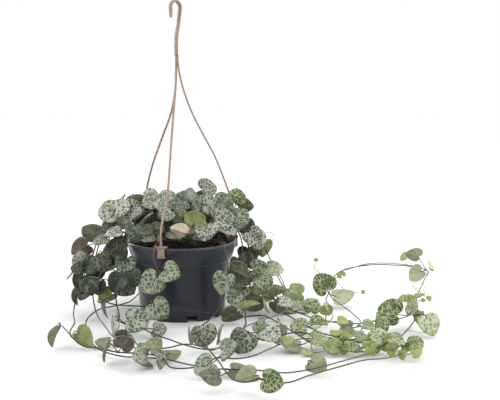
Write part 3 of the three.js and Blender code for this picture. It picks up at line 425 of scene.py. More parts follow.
class Occupied:
    """Points in space with a reach round each, in cells for a quick search."""

    def __init__(self):
        self.cells = {}

    def add(self, point, reach, vine, stem=None):
        key = tuple(math.floor(v / CELL) for v in point)
        self.cells.setdefault(key, []).append((point, reach, vine, stem))

    def add_all(self, points, reach, vine):
        for point in points:
            self.add(point, reach, vine)

    def touches(self, point, reach, mine):
        """Whether something that the caller doesn't own is nearer than both reaches."""
        cx, cy, cz = (math.floor(v / CELL) for v in point)
        for x in range(cx - 1, cx + 2):
            for y in range(cy - 1, cy + 2):
                for z in range(cz - 1, cz + 2):
                    for other, its_reach, vine, stem in self.cells.get((x, y, z), ()):
                        close = distance(point, other) < reach + its_reach
                        if close and not mine(vine, stem):
                            return True
        return False


def in_pot(point, margin):
    """Whether a point is in the pot's wall or in the soil, or closer than the margin to them."""
    x, y, z = point
    radius = math.hypot(x, y)
    if z > POT["height"] + margin or z < -margin:
        return False
    outside = radius_at(POT_OUTSIDE, z) + margin
    inside = radius_at(POT_INSIDE, z) - margin
    return radius < outside and (
        radius > inside or z < SOIL["level"] + SOIL["crown_rise"] + margin)


def is_free(points, reach, occupied, mine):
    """Whether all the points are clear of the pot, the soil and what the caller doesn't own."""
    return not any(in_pot(p, reach) or occupied.touches(p, reach, mine) for p in points)


# A stem is raised over this far to both sides of a crossing, for at most so many crossings, and
# by a little more than it needs.
LIFT_WIDTH = 24
LIFT_ROUNDS = 60
LIFT_MARGIN = 0.1


def lay_over(samples, laid):
    """Raises a stem where it passes too close over those laid before it."""
    clear = 2 * STEM["radius"] + STEM["gap"]
    if not laid:
        return
    others = np.array(laid)
    for _ in range(LIFT_ROUNDS):
        steps = np.array(samples)[:, None, :] - others[None, :, :]
        gaps = np.sqrt(steps[..., 0]**2 + steps[..., 1]**2 + steps[..., 2]**2)
        needed = np.where(gaps < clear, clear + LIFT_MARGIN - steps[..., 2], 0)
        worst, other = divmod(int(np.argmax(needed)), len(laid))
        lift = laid[other][2] + clear + LIFT_MARGIN - samples[worst][2]
        if needed[worst, other] <= 0 or lift <= 0:
            return
        centre = samples[worst]
        for p in samples:
            away = distance(p, centre)
            if away < LIFT_WIDTH:
                p[2] += lift * 0.5 * (1 + math.cos(math.pi * away / LIFT_WIDTH))


# ---------------------------------------------------------------- layout of stems and leaves

# How far a stem goes down into its hole, and how far it rises straight before its route.
BURIED = SOIL["hole_depth"] - SOIL["gap"]
STRAIGHT = 3
# The sprigs that a rule places over the back of the soil.
SPRIG = {
    "places": 26, "turn": 137.5, "inner_radius": 6, "outer_radius": 42, "middle_angle": 90,
    "half_angle": 90, "spacing": 6, "min_height": 24, "max_height": 50, "height_draw": 6,
    "lean": 13, "lean_at_middle": 0.3, "least_lean": 0.7, "lean_draw": 0.6,
    "knee_height": 0.55, "knee_lean": 0.35, "bend_draw": 60, "leaf_size": 23, "size_draw": 3,
    "start": 2, "seed": 11,
}


def rooted_route(route):
    """A vine's whole route: straight up out of its hole in the soil, then as listed."""
    x, y = route[0][:2]
    top = SOIL["level"] + SOIL["crown_rise"]
    return [(x, y, top - BURIED), (x, y, top + STRAIGHT)] + [p[:3] for p in route[1:]]


def sprig_routes(roots):
    """Short upright shoots over the back of the soil, at places on a sunflower's spiral."""
    draw = Draws(SPRIG["seed"])
    base = SOIL["level"] + SOIL["crown_rise"]
    routes = {}
    for i in range(SPRIG["places"]):
        angle = i * SPRIG["turn"]
        share = math.sqrt((i + 0.5) / SPRIG["places"])
        radius = SPRIG["inner_radius"] + (SPRIG["outer_radius"] - SPRIG["inner_radius"]) * share
        shorter = (SPRIG["max_height"] - SPRIG["min_height"]) * share
        height = SPRIG["max_height"] - shorter + SPRIG["height_draw"] * draw()
        drawn = SPRIG["least_lean"] + SPRIG["lean_draw"] * draw()
        lean = SPRIG["lean"] * (SPRIG["lean_at_middle"] + share) * drawn
        bend = (draw() - 0.5) * SPRIG["bend_draw"]
        size = SPRIG["leaf_size"] + SPRIG["size_draw"] * (draw() - 0.5)
        root = round_point(angle, radius, 0)
        from_middle = abs((angle - SPRIG["middle_angle"] + 540) % 360 - 180)
        crowded = any(math.hypot(root[0] - p[0], root[1] - p[1]) < SPRIG["spacing"] for p in roots)
        if from_middle > SPRIG["half_angle"] or crowded:
            continue
        roots.append(root)
        lean_x, lean_y, _ = round_point(angle + bend, lean, 0)
        knee = (lean_x * SPRIG["knee_lean"], lean_y * SPRIG["knee_lean"],
                base + height * SPRIG["knee_height"])
        tip = (lean_x, lean_y, base + height)
        routes[f"sprig_{len(routes) + 1}"] = [
            (root[0], root[1], base + SPRIG["start"]), (*add(root, knee), size), (*add(root, tip), size)]
    return routes


# How far the leaf of each look leans over, which way its upper face is, and its turn.
LOOKS = {
    "f": (20, 1, 0), "h": (50, 1, 0), "u": (65, 1, 0), "l": (20, 1, -60), "r": (20, 1, 60),
    "b": (-20, -1, 0), "g": (-50, -1, 0), "d": (65, -1, 0),
}


def posed(letter, hour, out=0):
    """Directions of the midrib and of the upper face for a look, and how far out it is set."""
    s = math.sin(math.radians(hour * 30))
    c = math.cos(math.radians(hour * 30))
    if letter == "e":
        return (s, 0, c), ((-c, 0, s) if c > 0 else (c, 0, -s)), out
    lean, face, turn = LOOKS[letter]
    back = math.sin(math.radians(lean))
    rise = math.cos(math.radians(lean))
    return (turn_about((s, c * back, c * rise), UP, math.radians(turn)),
            turn_about(scale((0, -rise, back), face), UP, math.radians(turn)), out)


# The rule for leaves without a listed look. Below the lying height they take one of the looks
# at an hour of their own side. Above it they spread out and droop, more so on a hanging stem.
LYING_HEIGHT = 40
LYING_LOOKS = "fubfuedf"
LYING_HOURS = {"right": 1.5, "left": 6.5, "spread": 4}
OPEN = {"out": 0.6, "across": 0.5, "droop": 0.25, "facing": 0.5, "rise": 0.75}
HANGING = {"out": 0.3, "across": 0.5, "droop": 0.85, "facing": 0.9, "rise": 0.25}
HANGING_SLOPE = -0.5
ACROSS_DRAW = 0.5
FACING_DRAW = 0.4


def drawn_pose(node, direction, side, draw):
    """Where an unlisted leaf turns: outward on a crown or hanging stem, by a draw on a lying one."""
    outward = unit((node[0], node[1], 0))
    across = scale(unit(cross(UP, outward)), side)
    if node[2] > LYING_HEIGHT:
        rule = HANGING if direction[2] < HANGING_SLOPE else OPEN
        sideways = scale(across, rule["across"] + ACROSS_DRAW * draw())
        level = add(scale(outward, rule["out"]), sideways)
        along = unit(add(level, (0, 0, -rule["droop"])))
        out_facing = scale(outward, rule["facing"] + FACING_DRAW * draw())
        facing = unit(add(out_facing, scale(UP, rule["rise"])))
        return along, unit(sub(facing, scale(along, dot(facing, along)))), 0
    letter = LYING_LOOKS[math.floor(draw() * len(LYING_LOOKS))]
    start = LYING_HOURS["right"] if side > 0 else LYING_HOURS["left"]
    return posed(letter, start + LYING_HOURS["spread"] * draw())


def heart_width(v):
    """Half of a blade's width at a place along its rib, as a share of its size."""
    for (w0, v0), (w1, v1) in zip(HEART[1:], HEART[2:]):
        if v0 <= v <= v1:
            return w0 + (w1 - w0) * (v - v0) / (v1 - v0)
    return 0


# Rows of points over a blade, and the distance between the points of a row.
BLADE_ROWS = 8
SAMPLE_PITCH = 3


def blade_points(root, along, normal, size):
    """Points of the blade's outline, and points spread over it."""
    across = cross(along, normal)

    def at(u, v):
        rise = BLADE["fold"] * abs(u) * size - BLADE["droop"] * v * v * size * size
        return add(add(root, scale(across, u * size)),
                   add(scale(along, v * size), scale(normal, rise)))

    spread = []
    low = HEART[1][1]
    high = HEART[-1][1]
    for row in range(BLADE_ROWS):
        v = low + (high - low) * (row + 0.5) / BLADE_ROWS
        half = heart_width(v)
        count = max(1, math.ceil(half * size / SAMPLE_PITCH))
        for i in range(-count, count + 1):
            spread.append(at(half * i / count, v))
    rim = []
    for u, v in HEART:
        rim += [at(0, v)] if u == 0 else [at(u, v), at(-u, v)]
    return rim, spread


# How a leaf's place is searched: the draws move and turn it further with each try, and the
# later tries make it smaller. A leaf is lifted to the floor gap at most so far, may be near its
# own stem within the node's reach, and has a straight stalk if the stem is well behind it.
TRIES = 400
SMALLER = (1, 1, 0.9, 0.8)
LOOSE = {"from": 6, "each": 0.1}
REACH_DRAW = {"from": 3, "each": 0.04}
STAND_DRAW = {"middle": 0.3, "each": 0.08}
SHIFT_DRAW = 0.06
FLOOR_GAP = 0.5 + BLADE["thickness"]
MOST_LIFT = 18
NODE_REACH = 5
LEAF_SEED = 2024
BEHIND = -0.6


def try_leaf(node, pose, size, attempt, draw):
    """The leaf of one draw: its stalk leaves the stem towards it, and it is above the surface."""
    loose = math.radians(LOOSE["from"] + LOOSE["each"] * attempt)
    axis = unit((draw() - 0.5, draw() - 0.5, draw() - 0.5))
    turn = (draw() * 2 - 1) * loose
    along = turn_about(pose[0], axis, turn)
    normal = turn_about(pose[1], axis, turn)
    reach = PETIOLE["length"] + draw() * (REACH_DRAW["from"] + REACH_DRAW["each"] * attempt)
    stand = (PETIOLE["stand"] + pose[2]
             + (draw() - STAND_DRAW["middle"]) * STAND_DRAW["each"] * attempt)
    shift = scale(cross(along, normal), (draw() - 0.5) * SHIFT_DRAW * attempt)
    root = add(add(node, shift), add(scale(along, reach), scale(normal, stand)))
    lowest = min(p[2] for p in blade_points(root, along, normal, size)[0])
    lift = max(0, FLOOR_GAP - lowest)
    return {"node": node, "root": add(root, (0, 0, lift)), "along": along, "normal": normal,
            "size": size, "lift": lift, "folded": 1}


def petiole_points(leaf):
    """The line of a leaf's stalk: straight to a stem well behind the notch, or else bent."""
    node, root, along = leaf["node"], leaf["root"], leaf["along"]
    if dot(unit(sub(node, root)), along) < BEHIND:
        return [root, node]
    elbow = add(scale(along, -PETIOLE["elbow"]), scale(leaf["normal"], -PETIOLE["under"]))
    return [root, add(root, elbow), node]


def stalk_points(leaf):
    """Points along a leaf's stalk, short of the notch and of the stem."""
    line = petiole_points(leaf)
    points = []
    for start, end in zip(line, line[1:]):
        count = max(2, math.ceil(distance(start, end) / PETIOLE["step"]))
        points += [between(start, end, j / count) for j in range(1, count)]
    return points


def place_leaf(node, pose, size, occupied, name, draw):
    """The first draw of a leaf that touches nothing, or None."""
    def at_node(vine, stem):
        return vine == name and stem is not None and distance(stem, node) < NODE_REACH

    for attempt in range(TRIES):
        smaller = SMALLER[attempt * len(SMALLER) // TRIES]
        leaf = try_leaf(node, pose, size * smaller, attempt, draw)
        if leaf["lift"] > MOST_LIFT:
            continue
        rim, spread = blade_points(leaf["root"], leaf["along"], leaf["normal"], leaf["size"])
        blade, stalk = rim + spread, stalk_points(leaf)
        if is_free(blade, WIDE, occupied, at_node) and is_free(stalk, THIN, occupied, at_node):
            occupied.add_all(blade, WIDE, name)
            occupied.add_all(stalk, THIN, name)
            return leaf
    return None


# Leaves whose own colours show plainly in the photograph: the point of the vine's route that
# the pair grows at, and the colours of its two leaves, or - for a leaf that is left to the rule.
OWN_LOOKS = {
    "left_outer": (
        "4 olive purple, 5 net -, 6 - dusk, 11 fresh -, 14 - purple, 15 - middle, 16 silver -, "
        "19 middle net"),
    "left_inner": "3 silver net, 6 dusk dusk, 7 dusk -",
    "left_red": (
        "3 cream net, 7 dusk dusk, 8 dusk -, 9 fresh -, 11 silver net, 12 silver net, "
        "20 silver -"),
    "front": "5 middle middle, 7 middle -",
    "right_front": "5 middle moss, 9 middle -, 12 moss -, 15 right pale, 22 fresh -",
    "foot_runner": "14 moss -, 18 pale mint",
    "right_drape": "5 olive middle, 8 olive -, 11 - mint",
    "right_loop": (
        "3 dark silver, 5 olive silver, 6 olive -, 9 net silver, 11 pale -, 20 mint mint, "
        "24 pale pale, 31 right pale"),
    "right_upper": "8 mint -, 15 right -, 17 right mint",
    "right_pale": "3 fresh -",
    "back_round_left": "21 pale -",
    "crown_1": "2 olive dark, 3 net -",
    "crown_2": "2 silver silver, 4 - dark",
    "crown_3": "2 net net, 3 silver -",
    "crown_4": "2 net net, 3 net dusk",
    "crown_5": "2 net dusk, 3 right olive",
    "crown_6": "2 silver silver, 4 net dusk",
    "crown_7": "2 net net, 4 fresh olive",
    "crown_8": "2 net -",
    "crown_9": "2 net -",
}
OWN_COLOURS = {
    (vine, int(index), side): look
    for vine, pairs in OWN_LOOKS.items()
    for index, *looks in (pair.split() for pair in pairs.split(", "))
    for side, look in zip((1, -1), looks) if look != "-"}


def lay_stems(occupied):
    """Every vine and sprig with its stem laid, each over the ones before it."""
    laid = []
    plants = []
    for name, route in {**VINES, **sprig_routes([r[0] for r in VINES.values()])}.items():
        samples, knots = sample_route(rooted_route(route))
        lay_over(samples, laid)
        laid += samples
        for p in samples:
            occupied.add(p, THIN, name, p)
        plants.append({"name": name, "route": route, "samples": samples, "knots": knots,
                       "leaves": []})
    return plants


def set_pair(plant, i, occupied, draw):
    """Sets the pair of leaves that grows at one point of a plant's route."""
    samples = plant["samples"]
    _, _, _, size, *looks = plant["route"][i]
    knot = plant["knots"][i + 1]
    node = tuple(samples[knot])
    direction = unit(sub(samples[min(len(samples) - 1, knot + 1)], samples[max(0, knot - 1)]))
    for side, look in zip((1, -1), looks[0].split() if looks else (None, None)):
        if look == "-":
            continue
        if look:
            pose = posed(look[0], *(float(part) for part in look[1:].split("+")))
        else:
            pose = drawn_pose(node, direction, side, draw)
        leaf = place_leaf(node, pose, size, occupied, plant["name"], draw)
        if leaf:
            leaf["own"] = OWN_COLOURS.get((plant["name"], i, side))
            plant["leaves"].append(leaf)


def lay_out():
    """Lays every stem, then sets the leaves with looks, then the ones that are left to the rule."""
    occupied = Occupied()
    for angle, route in STRANDS:
        samples, _ = sample_route(strand_route(angle, route))
        occupied.add_all(samples + clip_samples(angle), STRAND_REACH, "hanger")
    plants = lay_stems(occupied)
    draw = Draws(LEAF_SEED)
    for with_looks in (5, 4):
        for plant in plants:
            for i, point in enumerate(plant["route"]):
                if len(point) == with_looks:
                    set_pair(plant, i, occupied, draw)
    return [plant for plant in plants if plant["leaves"]], occupied


# ---------------------------------------------------------------- leaves that only the scene has

# Leaves that fill the crown: the middle of each in the photograph, its depth, look, size, colours.
# The dusk leaves at the back of the crown and the depth leaves are painted shade: dark leaves set into
# its shaded gaps.
FILLERS = [
    (165, 214, -40, "f8", 18, "silver"), (160, 204, -30, "f9.5", 16, "silver"),
    (122, 206, -22, "f2", 20, "silver"), (143, 208, -16, "b2.5", 20, "moss"),
    (146, 218, -44, "e1.2", 20, "olive"), (108, 227, -14, "f8.5", 19, "dusk"),
    (113, 232, -30, "u8.6", 20, "silver"), (159, 228, -42, "b3", 14, "moss"),
    (190, 230, -46, "b11.6", 10, "cream"), (186, 204, -6, "f8", 19, "net"),
    (199, 205, -18, "f8.5", 20, "net"), (212, 205, -22, "f3", 21, "net"),
    (226, 209, -26, "f4.6", 20, "net"), (180, 207, -26, "f10", 18, "net"),
    (229, 231, -44, "u4", 17, "silver"), (233, 226, -30, "f4", 19, "net"),
    (150, 238, -50, "u3", 16, "olive"), (148, 212, 6, "f6", 20, "dusk"),
    (158, 222, 2, "f5", 20, "dusk"), (170, 226, -8, "f7", 20, "dusk"),
    (128, 218, -4, "f7", 18, "dusk"), (190, 214, 0, "f5", 20, "dusk"),
    (216, 222, 4, "f6", 20, "dusk"), (232, 213, 8, "f3", 20, "dusk"),
    (203, 196, 10, "f1", 18, "dusk"), (184, 196, 4, "f12", 16, "net"),
    (129, 225, -52, "b8.4", 18, "cream"), (178, 230, -58, "b10", 20, "cream"),
    (194, 217, -50, "b12", 21, "fresh"), (188, 191, -4, "r1", 23, "net"),
    (140, 221, -20, "f7", 19, "depth"), (149, 224, -26, "f5", 18, "depth"),
    (88, 266, -30, "f8", 21, "dusk"), (103, 263, -38, "f5", 22, "dusk"),
    (126, 266, -34, "f6", 21, "net"), (133, 279, -44, "f5.4", 20, "dusk"),
    (76, 268, -30, "f9", 14, "dusk"), (117, 284, -48, "f7", 22, "dusk"),
    (98, 288, -34, "f6", 17, "dusk"), (90, 287, -44, "f5.6", 20, "dusk"),
    (112, 248, -32, "f8.6", 20, "dusk"), (121, 254, -38, "f5", 18, "dusk"),
    (100, 240, -34, "u8.4", 18, "net"), (248, 228, -8, "f5", 18, "dusk"),
    (246, 262, -24, "f6", 18, "dusk"), (254, 238, -16, "f4.6", 22, "silver"),
    (265, 282, -24, "f4.4", 22, "middle"), (233, 297, -50, "f7.6", 18, "middle"),
    (286, 303, -30, "u3.4", 17, "silver"), (297, 316, -40, "f3.2", 18, "silver"),
]
# How far back or forward a filler may move, the room it needs, the middle of a blade as a share
# of its size, and how far off its stem may be.
FILLER = {
    "pushes": (0, 2, -2, 4, -4, 6, -6, 8, -8, 10, -11, 13, -14, 16, -18), "clear": 0.5,
    "middle": 0.35, "reach": 30,
}
# Leaves inside the crown, at drawn places on its stems, near black as painted shade.
INNER = {
    "tries": 60, "low": 82, "high": 112, "size": (15, 21), "seed": 31, "radius": 40,
    "looks": "fuh", "own": "depth",
}


def free_blade(root, along, normal, size, occupied):
    """The points of a blade that only the scene has, if it touches nothing, or None."""
    rim, spread = blade_points(root, along, normal, size)
    free = is_free(rim + spread, FILLER["clear"], occupied, lambda vine, stem: False)
    return rim + spread if free else None


def added_leaf(node, root, along, normal, size, own):
    """A leaf with the entries that the pieces are made from."""
    return {"node": node, "root": root, "along": along, "normal": normal, "size": size,
            "own": own, "folded": 1}


def filler_leaf(entry, occupied, stems):
    """The leaf of one entry, pushed back or forward to where it touches nothing, or None."""
    px, py, depth, look, size, own = entry
    along, normal, _ = posed(look[0], float(look[1:]))
    for push in FILLER["pushes"]:
        root = sub(at_pixel(px, py, depth + push), scale(along, FILLER["middle"] * size))
        points = free_blade(root, along, normal, size, occupied)
        if not points:
            continue
        node = min(stems, key=lambda p: distance(p, root) + max(0, dot(sub(p, root), along)))
        if distance(node, root) > FILLER["reach"]:
            return None
        occupied.add_all(points, WIDE, "filler")
        return added_leaf(node, root, along, normal, size, own)
    return None


def fill_crown(plants, occupied):
    """The crown's listed fillers, then the drawn leaves deep inside it, dark as painted shade."""
    stems = [tuple(p) for plant in plants for p in plant["samples"]]
    leaves = [filler_leaf(entry, occupied, stems) for entry in FILLERS]
    draw = Draws(INNER["seed"])
    inside = [p for p in stems if INNER["low"] < p[2] < INNER["high"]
              and math.hypot(p[0], p[1]) < INNER["radius"]]
    for _ in range(INNER["tries"]):
        node = inside[int(draw() * len(inside))]
        pose = posed(INNER["looks"][int(draw() * len(INNER["looks"]))], draw() * 12)
        angle = math.radians(draw() * 360)
        along, normal = (turn_about(way, UP, angle) for way in pose[:2])
        size = draw.spread(*INNER["size"])
        root = add(node, add(scale(along, PETIOLE["length"]), scale(normal, PETIOLE["stand"])))
        points = free_blade(root, along, normal, size, occupied)
        if points:
            occupied.add_all(points, WIDE, "filler")
            leaves.append(added_leaf(node, root, along, normal, size, INNER["own"]))
    return [leaf for leaf in leaves if leaf]


# Young shoots and second strands that only the scene has: tone, radius, the looks and the size of
# the leaves at the end, and the pixels that each is seen through in the photograph. Each starts
# at the stem that is nearest to the first of them.
SHOOTS = [
    ("lime", 0.42, "f7 f11", 4, "262,240 264,235 269,232 274,235 273,240 269,243"),
    ("lime", 0.47, "f12", 5, "314,276 315,268 316,262"),
    ("lime", 0.47, "f1 f9", 6, "333,281 335,278 339,277 342,276"),
    ("lime", 0.44, "f3", 5, "336,278 339,284 344,289 351,292 361,292"),
    ("lime", 0.52, "l4.6", 15, "303,300 300,296 298,293"),
    ("lime", 0.52, "f8 r11", 9, "330,321 333,316 331,311 328,309"),
    ("lime", 0.62, "h3 u3.4", 11, "311,334 320,326 330,322 338,321"),
    ("lime", 0.47, "f6", 6, "306,343 310,336 319,331 323,335 324,341"),
    ("lime", 0.52, "f8 f4 f6", 10, "340,343 343,350"),
    ("lime", 0.52, "f6 f11", 12, "372,343 375,346"),
    ("lime", 0.52, "f9 f3", 10, "384,342 387,338"),
    ("lime", 0.52, "f8 f4.4", 11, "380,346 383,350"),
    ("lime", 0.52, "f2 f6", 9, "388,345 391,348"),
    ("lime", 0.47, "l5.4", 10, "398,350 401,352 403,354"),
    ("lime", 0.47, "f11 r1", 10, "410,305 412,302"),
    ("lime", 0.47, "f1.6", 6, "423,304 427,300"),
    ("lime", 0.52, "l6", 15, "416,308 420,311"),
    ("brown", 0.62, "", 0, "425,314 430,315 433,319 430,326 425,332"),
    ("lime", 0.42, "f3", 4, "409,332 418,332 430,333"),
    ("lime", 0.47, "l11.4", 12, "409,268 406,264 404,260"),
    ("lime", 0.47, "r12.8", 13, "424,275 428,272 431,270"),
    ("lime", 0.47, "f7", 5, "407,288 412,284 421,282 425,288 424,298"),
    ("olive", 0.72, "", 0, "343,272 352,268 366,264 382,263 400,264 415,266"),
    ("olive", 0.72, "", 0, "330,287 331,280 336,275 343,271"),
    ("olive", 0.62, "", 0, "320,294 326,300 331,307 330,316"),
    ("brown", 0.62, "", 0, "357,328 360,325 362,329 359,334 364,331"),
    ("lime", 0.47, "f3", 6, "308,353 313,360 322,362 331,363"),
    ("brown", 0.62, "", 0, "268,261 276,270 283,282 287,296"),
    ("olive", 0.62, "u3.1", 16, "337,333 341,333"),
    ("lime", 0.52, "f3 f9", 8, "352,346 360,343 370,345"),
    ("olive", 0.67, "", 0, "345,352 352,350 365,352 378,351"),
    ("olive", 0.72, "", 0, "322,333 340,338 360,341 380,341 398,334"),
    ("olive", 0.72, "", 0, "300,336 318,344 338,352 358,354 376,352 394,346"),
]
SHOOT_TONES = {
    "lime": (0.0, 1.0, 0.6, 0), "olive": (0.1, 0.35, 0.8, 0), "brown": (0.2, 0.1, 0.2, 0),
}
SHOOT = {"lift": 1.2, "steps": 5, "taper": 0.3, "out": 1.2, "up": 0.4}
HANG = {"along": 0.9, "across": 0.5}


def seen_at(point):
    """Where the photograph shows a point."""
    dx, dy, dz = sub(point, CAMERA["place"])
    depth = dy * PITCH_COS - dz * PITCH_SIN
    rise = dy * PITCH_SIN + dz * PITCH_COS
    return (CAMERA["frame"][0] / 2 + CAMERA["focal"] * dx / depth,
            CAMERA["frame"][1] / 2 - CAMERA["focal"] * rise / depth)


def hang(along, normal, size):
    """How far a small leaf reaches below its root."""
    across = cross(normal, along)
    return size * (HANG["along"] * max(0, -along[2]) + HANG["across"] * abs(across[2]))


def shoot_line(pixels, samples, places, poses, size):
    """The points of a shoot, at the depth of the stem that it starts at."""
    first, *others = (tuple(int(v) for v in pixel.split(",")) for pixel in pixels.split())
    nearest = min(range(len(samples)), key=lambda k: math.hypot(
        places[k][0] - first[0], places[k][1] - first[1]))
    start = samples[nearest]
    line = [start]
    for px, py in others:
        x, y, z = at_pixel(px, py, start[1])
        line.append((x, y, max(z, SHOOT["lift"])))
    lowest = SHOOT["lift"] + max([hang(along, normal, size) for along, normal in poses] + [0])
    line[-1] = (*line[-1][:2], max(line[-1][2], lowest))
    return line


def make_shoots(plants, draw):
    """The young shoots: their thin stems and the small leaves at their ends."""
    samples = [tuple(p) for plant in plants for p in plant["samples"]]
    places = [seen_at(p) for p in samples]
    stems = Pile()
    blades = Pile()
    for tone, radius, looks, size, pixels in SHOOTS:
        poses = [posed(look[0], float(look[1:]))[:2] for look in looks.split()]
        line = shoot_line(pixels, samples, places, poses, size)
        smooth_line = curved(line, SHOOT["steps"])
        count = len(smooth_line)
        radii = [radius * (1 - SHOOT["taper"] * i / count) for i in range(count)]
        add_tube(stems, smooth_line, radii, STEM_SKIN_RADIUS["sides"], SHOOT_TONES[tone])
        for along, normal in poses:
            root = add(line[-1], add(scale(along, SHOOT["out"]), scale(normal, SHOOT["up"])))
            leaf = added_leaf(line[-1], root, along, normal, size, None)
            leaf["youth"] = 1.0
            add_blade(blades, leaf, draw)
    build_pair(stems, blades, "young_shoots", "young_leaves", [])


# ---------------------------------------------------------------- mesh making

# A line this near to vertical starts its rings from the X axis.
UPRIGHT = 0.9


class Pile:
    """Vertices in mm, faces and named values at the vertices, gathered for one piece."""

    def __init__(self):
        self.points = []
        self.faces = []
        self.slots = []
        self.values = {}

    def add(self, points, faces, slot=0, **values):
        """A value is one tuple for all the points, or a list with a tuple for each."""
        start = len(self.points)
        self.points += [tuple(p) for p in points]
        self.faces += [tuple(start + i for i in face) for face in faces]
        self.slots += [slot] * len(faces) if isinstance(slot, int) else list(slot)
        for key, value in values.items():
            each = [value] * len(points) if isinstance(value, tuple) else list(value)
            self.values.setdefault(key, []).extend(each)

    def build(self, name, materials, nodes, slot, sharp=None):
        """Makes the piece. Its edges over the sharp angle, if there is one, aren't smoothed."""
        mesh = bpy.data.meshes.new(name)
        mesh.from_pydata([scale(p, MM) for p in self.points], [], self.faces)
        mesh.polygons.foreach_set("material_index", self.slots)
        for key, value in self.values.items():
            flat = np.array(value, dtype=np.float32)
            kind, field = (("FLOAT_VECTOR", "vector") if flat.shape[1] == 3
                           else ("FLOAT_COLOR", "color"))
            mesh.attributes.new(key, kind, "POINT").data.foreach_set(field, flat.ravel())
        for each in materials:
            mesh.materials.append(each)
        mesh.shade_smooth()
        if sharp:
            mesh.set_sharp_from_angle(angle=math.radians(sharp))
        place_piece(bpy.data.objects.new(name, mesh), nodes)


def put_in_scene(thing):
    """Links an object to the scene, and returns it."""
    bpy.context.scene.collection.objects.link(thing)
    return thing


def place_piece(piece, nodes):
    """Puts a finished piece in the scene. It stands for the nodes, if there are any."""
    put_in_scene(piece)
    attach(piece, "root")
    if nodes:
        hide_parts(*nodes)


def build_pair(stems, blades, stem_name, blade_name, nodes):
    """Makes two pieces: the stems or stalks of a group of leaves, and its blades."""
    stems.build(stem_name, [STEM_SKIN], nodes, "foliage")
    blades.build(blade_name, [LEAF_TOP, LEAF_UNDER], nodes, "foliage")


def tube_faces(count, sides):
    """Faces of a closed tube that has the given number of rings."""
    faces = []
    for i in range(count - 1):
        for k in range(sides):
            here = i * sides + k
            beside = i * sides + (k + 1) % sides
            faces.append((here, beside, beside + sides, here + sides))
    faces.append(tuple(range(sides - 1, -1, -1)))
    faces.append(tuple(range((count - 1) * sides, count * sides)))
    return faces


def turned_faces(rings, segments):
    """Faces of a turned body from its lowest point, over its rings, to its highest point."""
    last = 1 + rings * segments
    faces = []
    for k in range(segments):
        beside = (k + 1) % segments
        faces.append((0, 1 + beside, 1 + k))
        for a in range(1, last - segments, segments):
            faces.append((a + k, a + beside, a + segments + beside, a + segments + k))
        a = last - segments
        faces.append((a + k, a + beside, last))
    return faces


def circle(radius, z, segments):
    """Points of a level circle about the Z axis."""
    turns = (2 * math.pi * k / segments for k in range(segments))
    return [(radius * math.cos(turn), radius * math.sin(turn), z) for turn in turns]


def steps_along(points):
    """The direction of a line at each of its points."""
    last = len(points) - 1
    return [unit(sub(points[min(i + 1, last)], points[max(i - 1, 0)])) for i in range(last + 1)]


def sweep(points, radii, sides):
    """A round tube through the points: its vertices, its faces, and (ring, side) of each vertex."""
    steps = steps_along(points)
    side = unit(cross(steps[0], (1, 0, 0) if abs(steps[0][2]) > UPRIGHT else UP))
    ring_points = []
    labels = []
    for i, (point, step) in enumerate(zip(points, steps)):
        side = unit(sub(side, scale(step, dot(side, step))))
        other = cross(step, side)
        for k in range(sides):
            angle = 2 * math.pi * k / sides
            out = add(scale(side, math.cos(angle)), scale(other, math.sin(angle)))
            ring_points.append(add(point, scale(out, radii[i])))
            labels.append((i, k))
    return ring_points, tube_faces(len(points), sides), labels


def curved(points, steps):
    """A smooth curve through a few points, in the given number of steps between each two."""
    line = []
    for i in range(len(points) - 1):
        p0 = points[max(i - 1, 0)]
        p1, p2 = points[i], points[i + 1]
        p3 = points[min(i + 2, len(points) - 1)]
        for j in range(steps):
            w = j / steps
            line.append(tuple(
                0.5 * (2 * p1[k] + (p2[k] - p0[k]) * w
                       + (2 * p0[k] - 5 * p1[k] + 4 * p2[k] - p3[k]) * w * w
                       + (3 * p1[k] - p0[k] - 3 * p2[k] + p3[k]) * w**3)
                for k in range(len(p1))))
    line.append(tuple(points[-1]))
    return line


# ---------------------------------------------------------------- shader helper


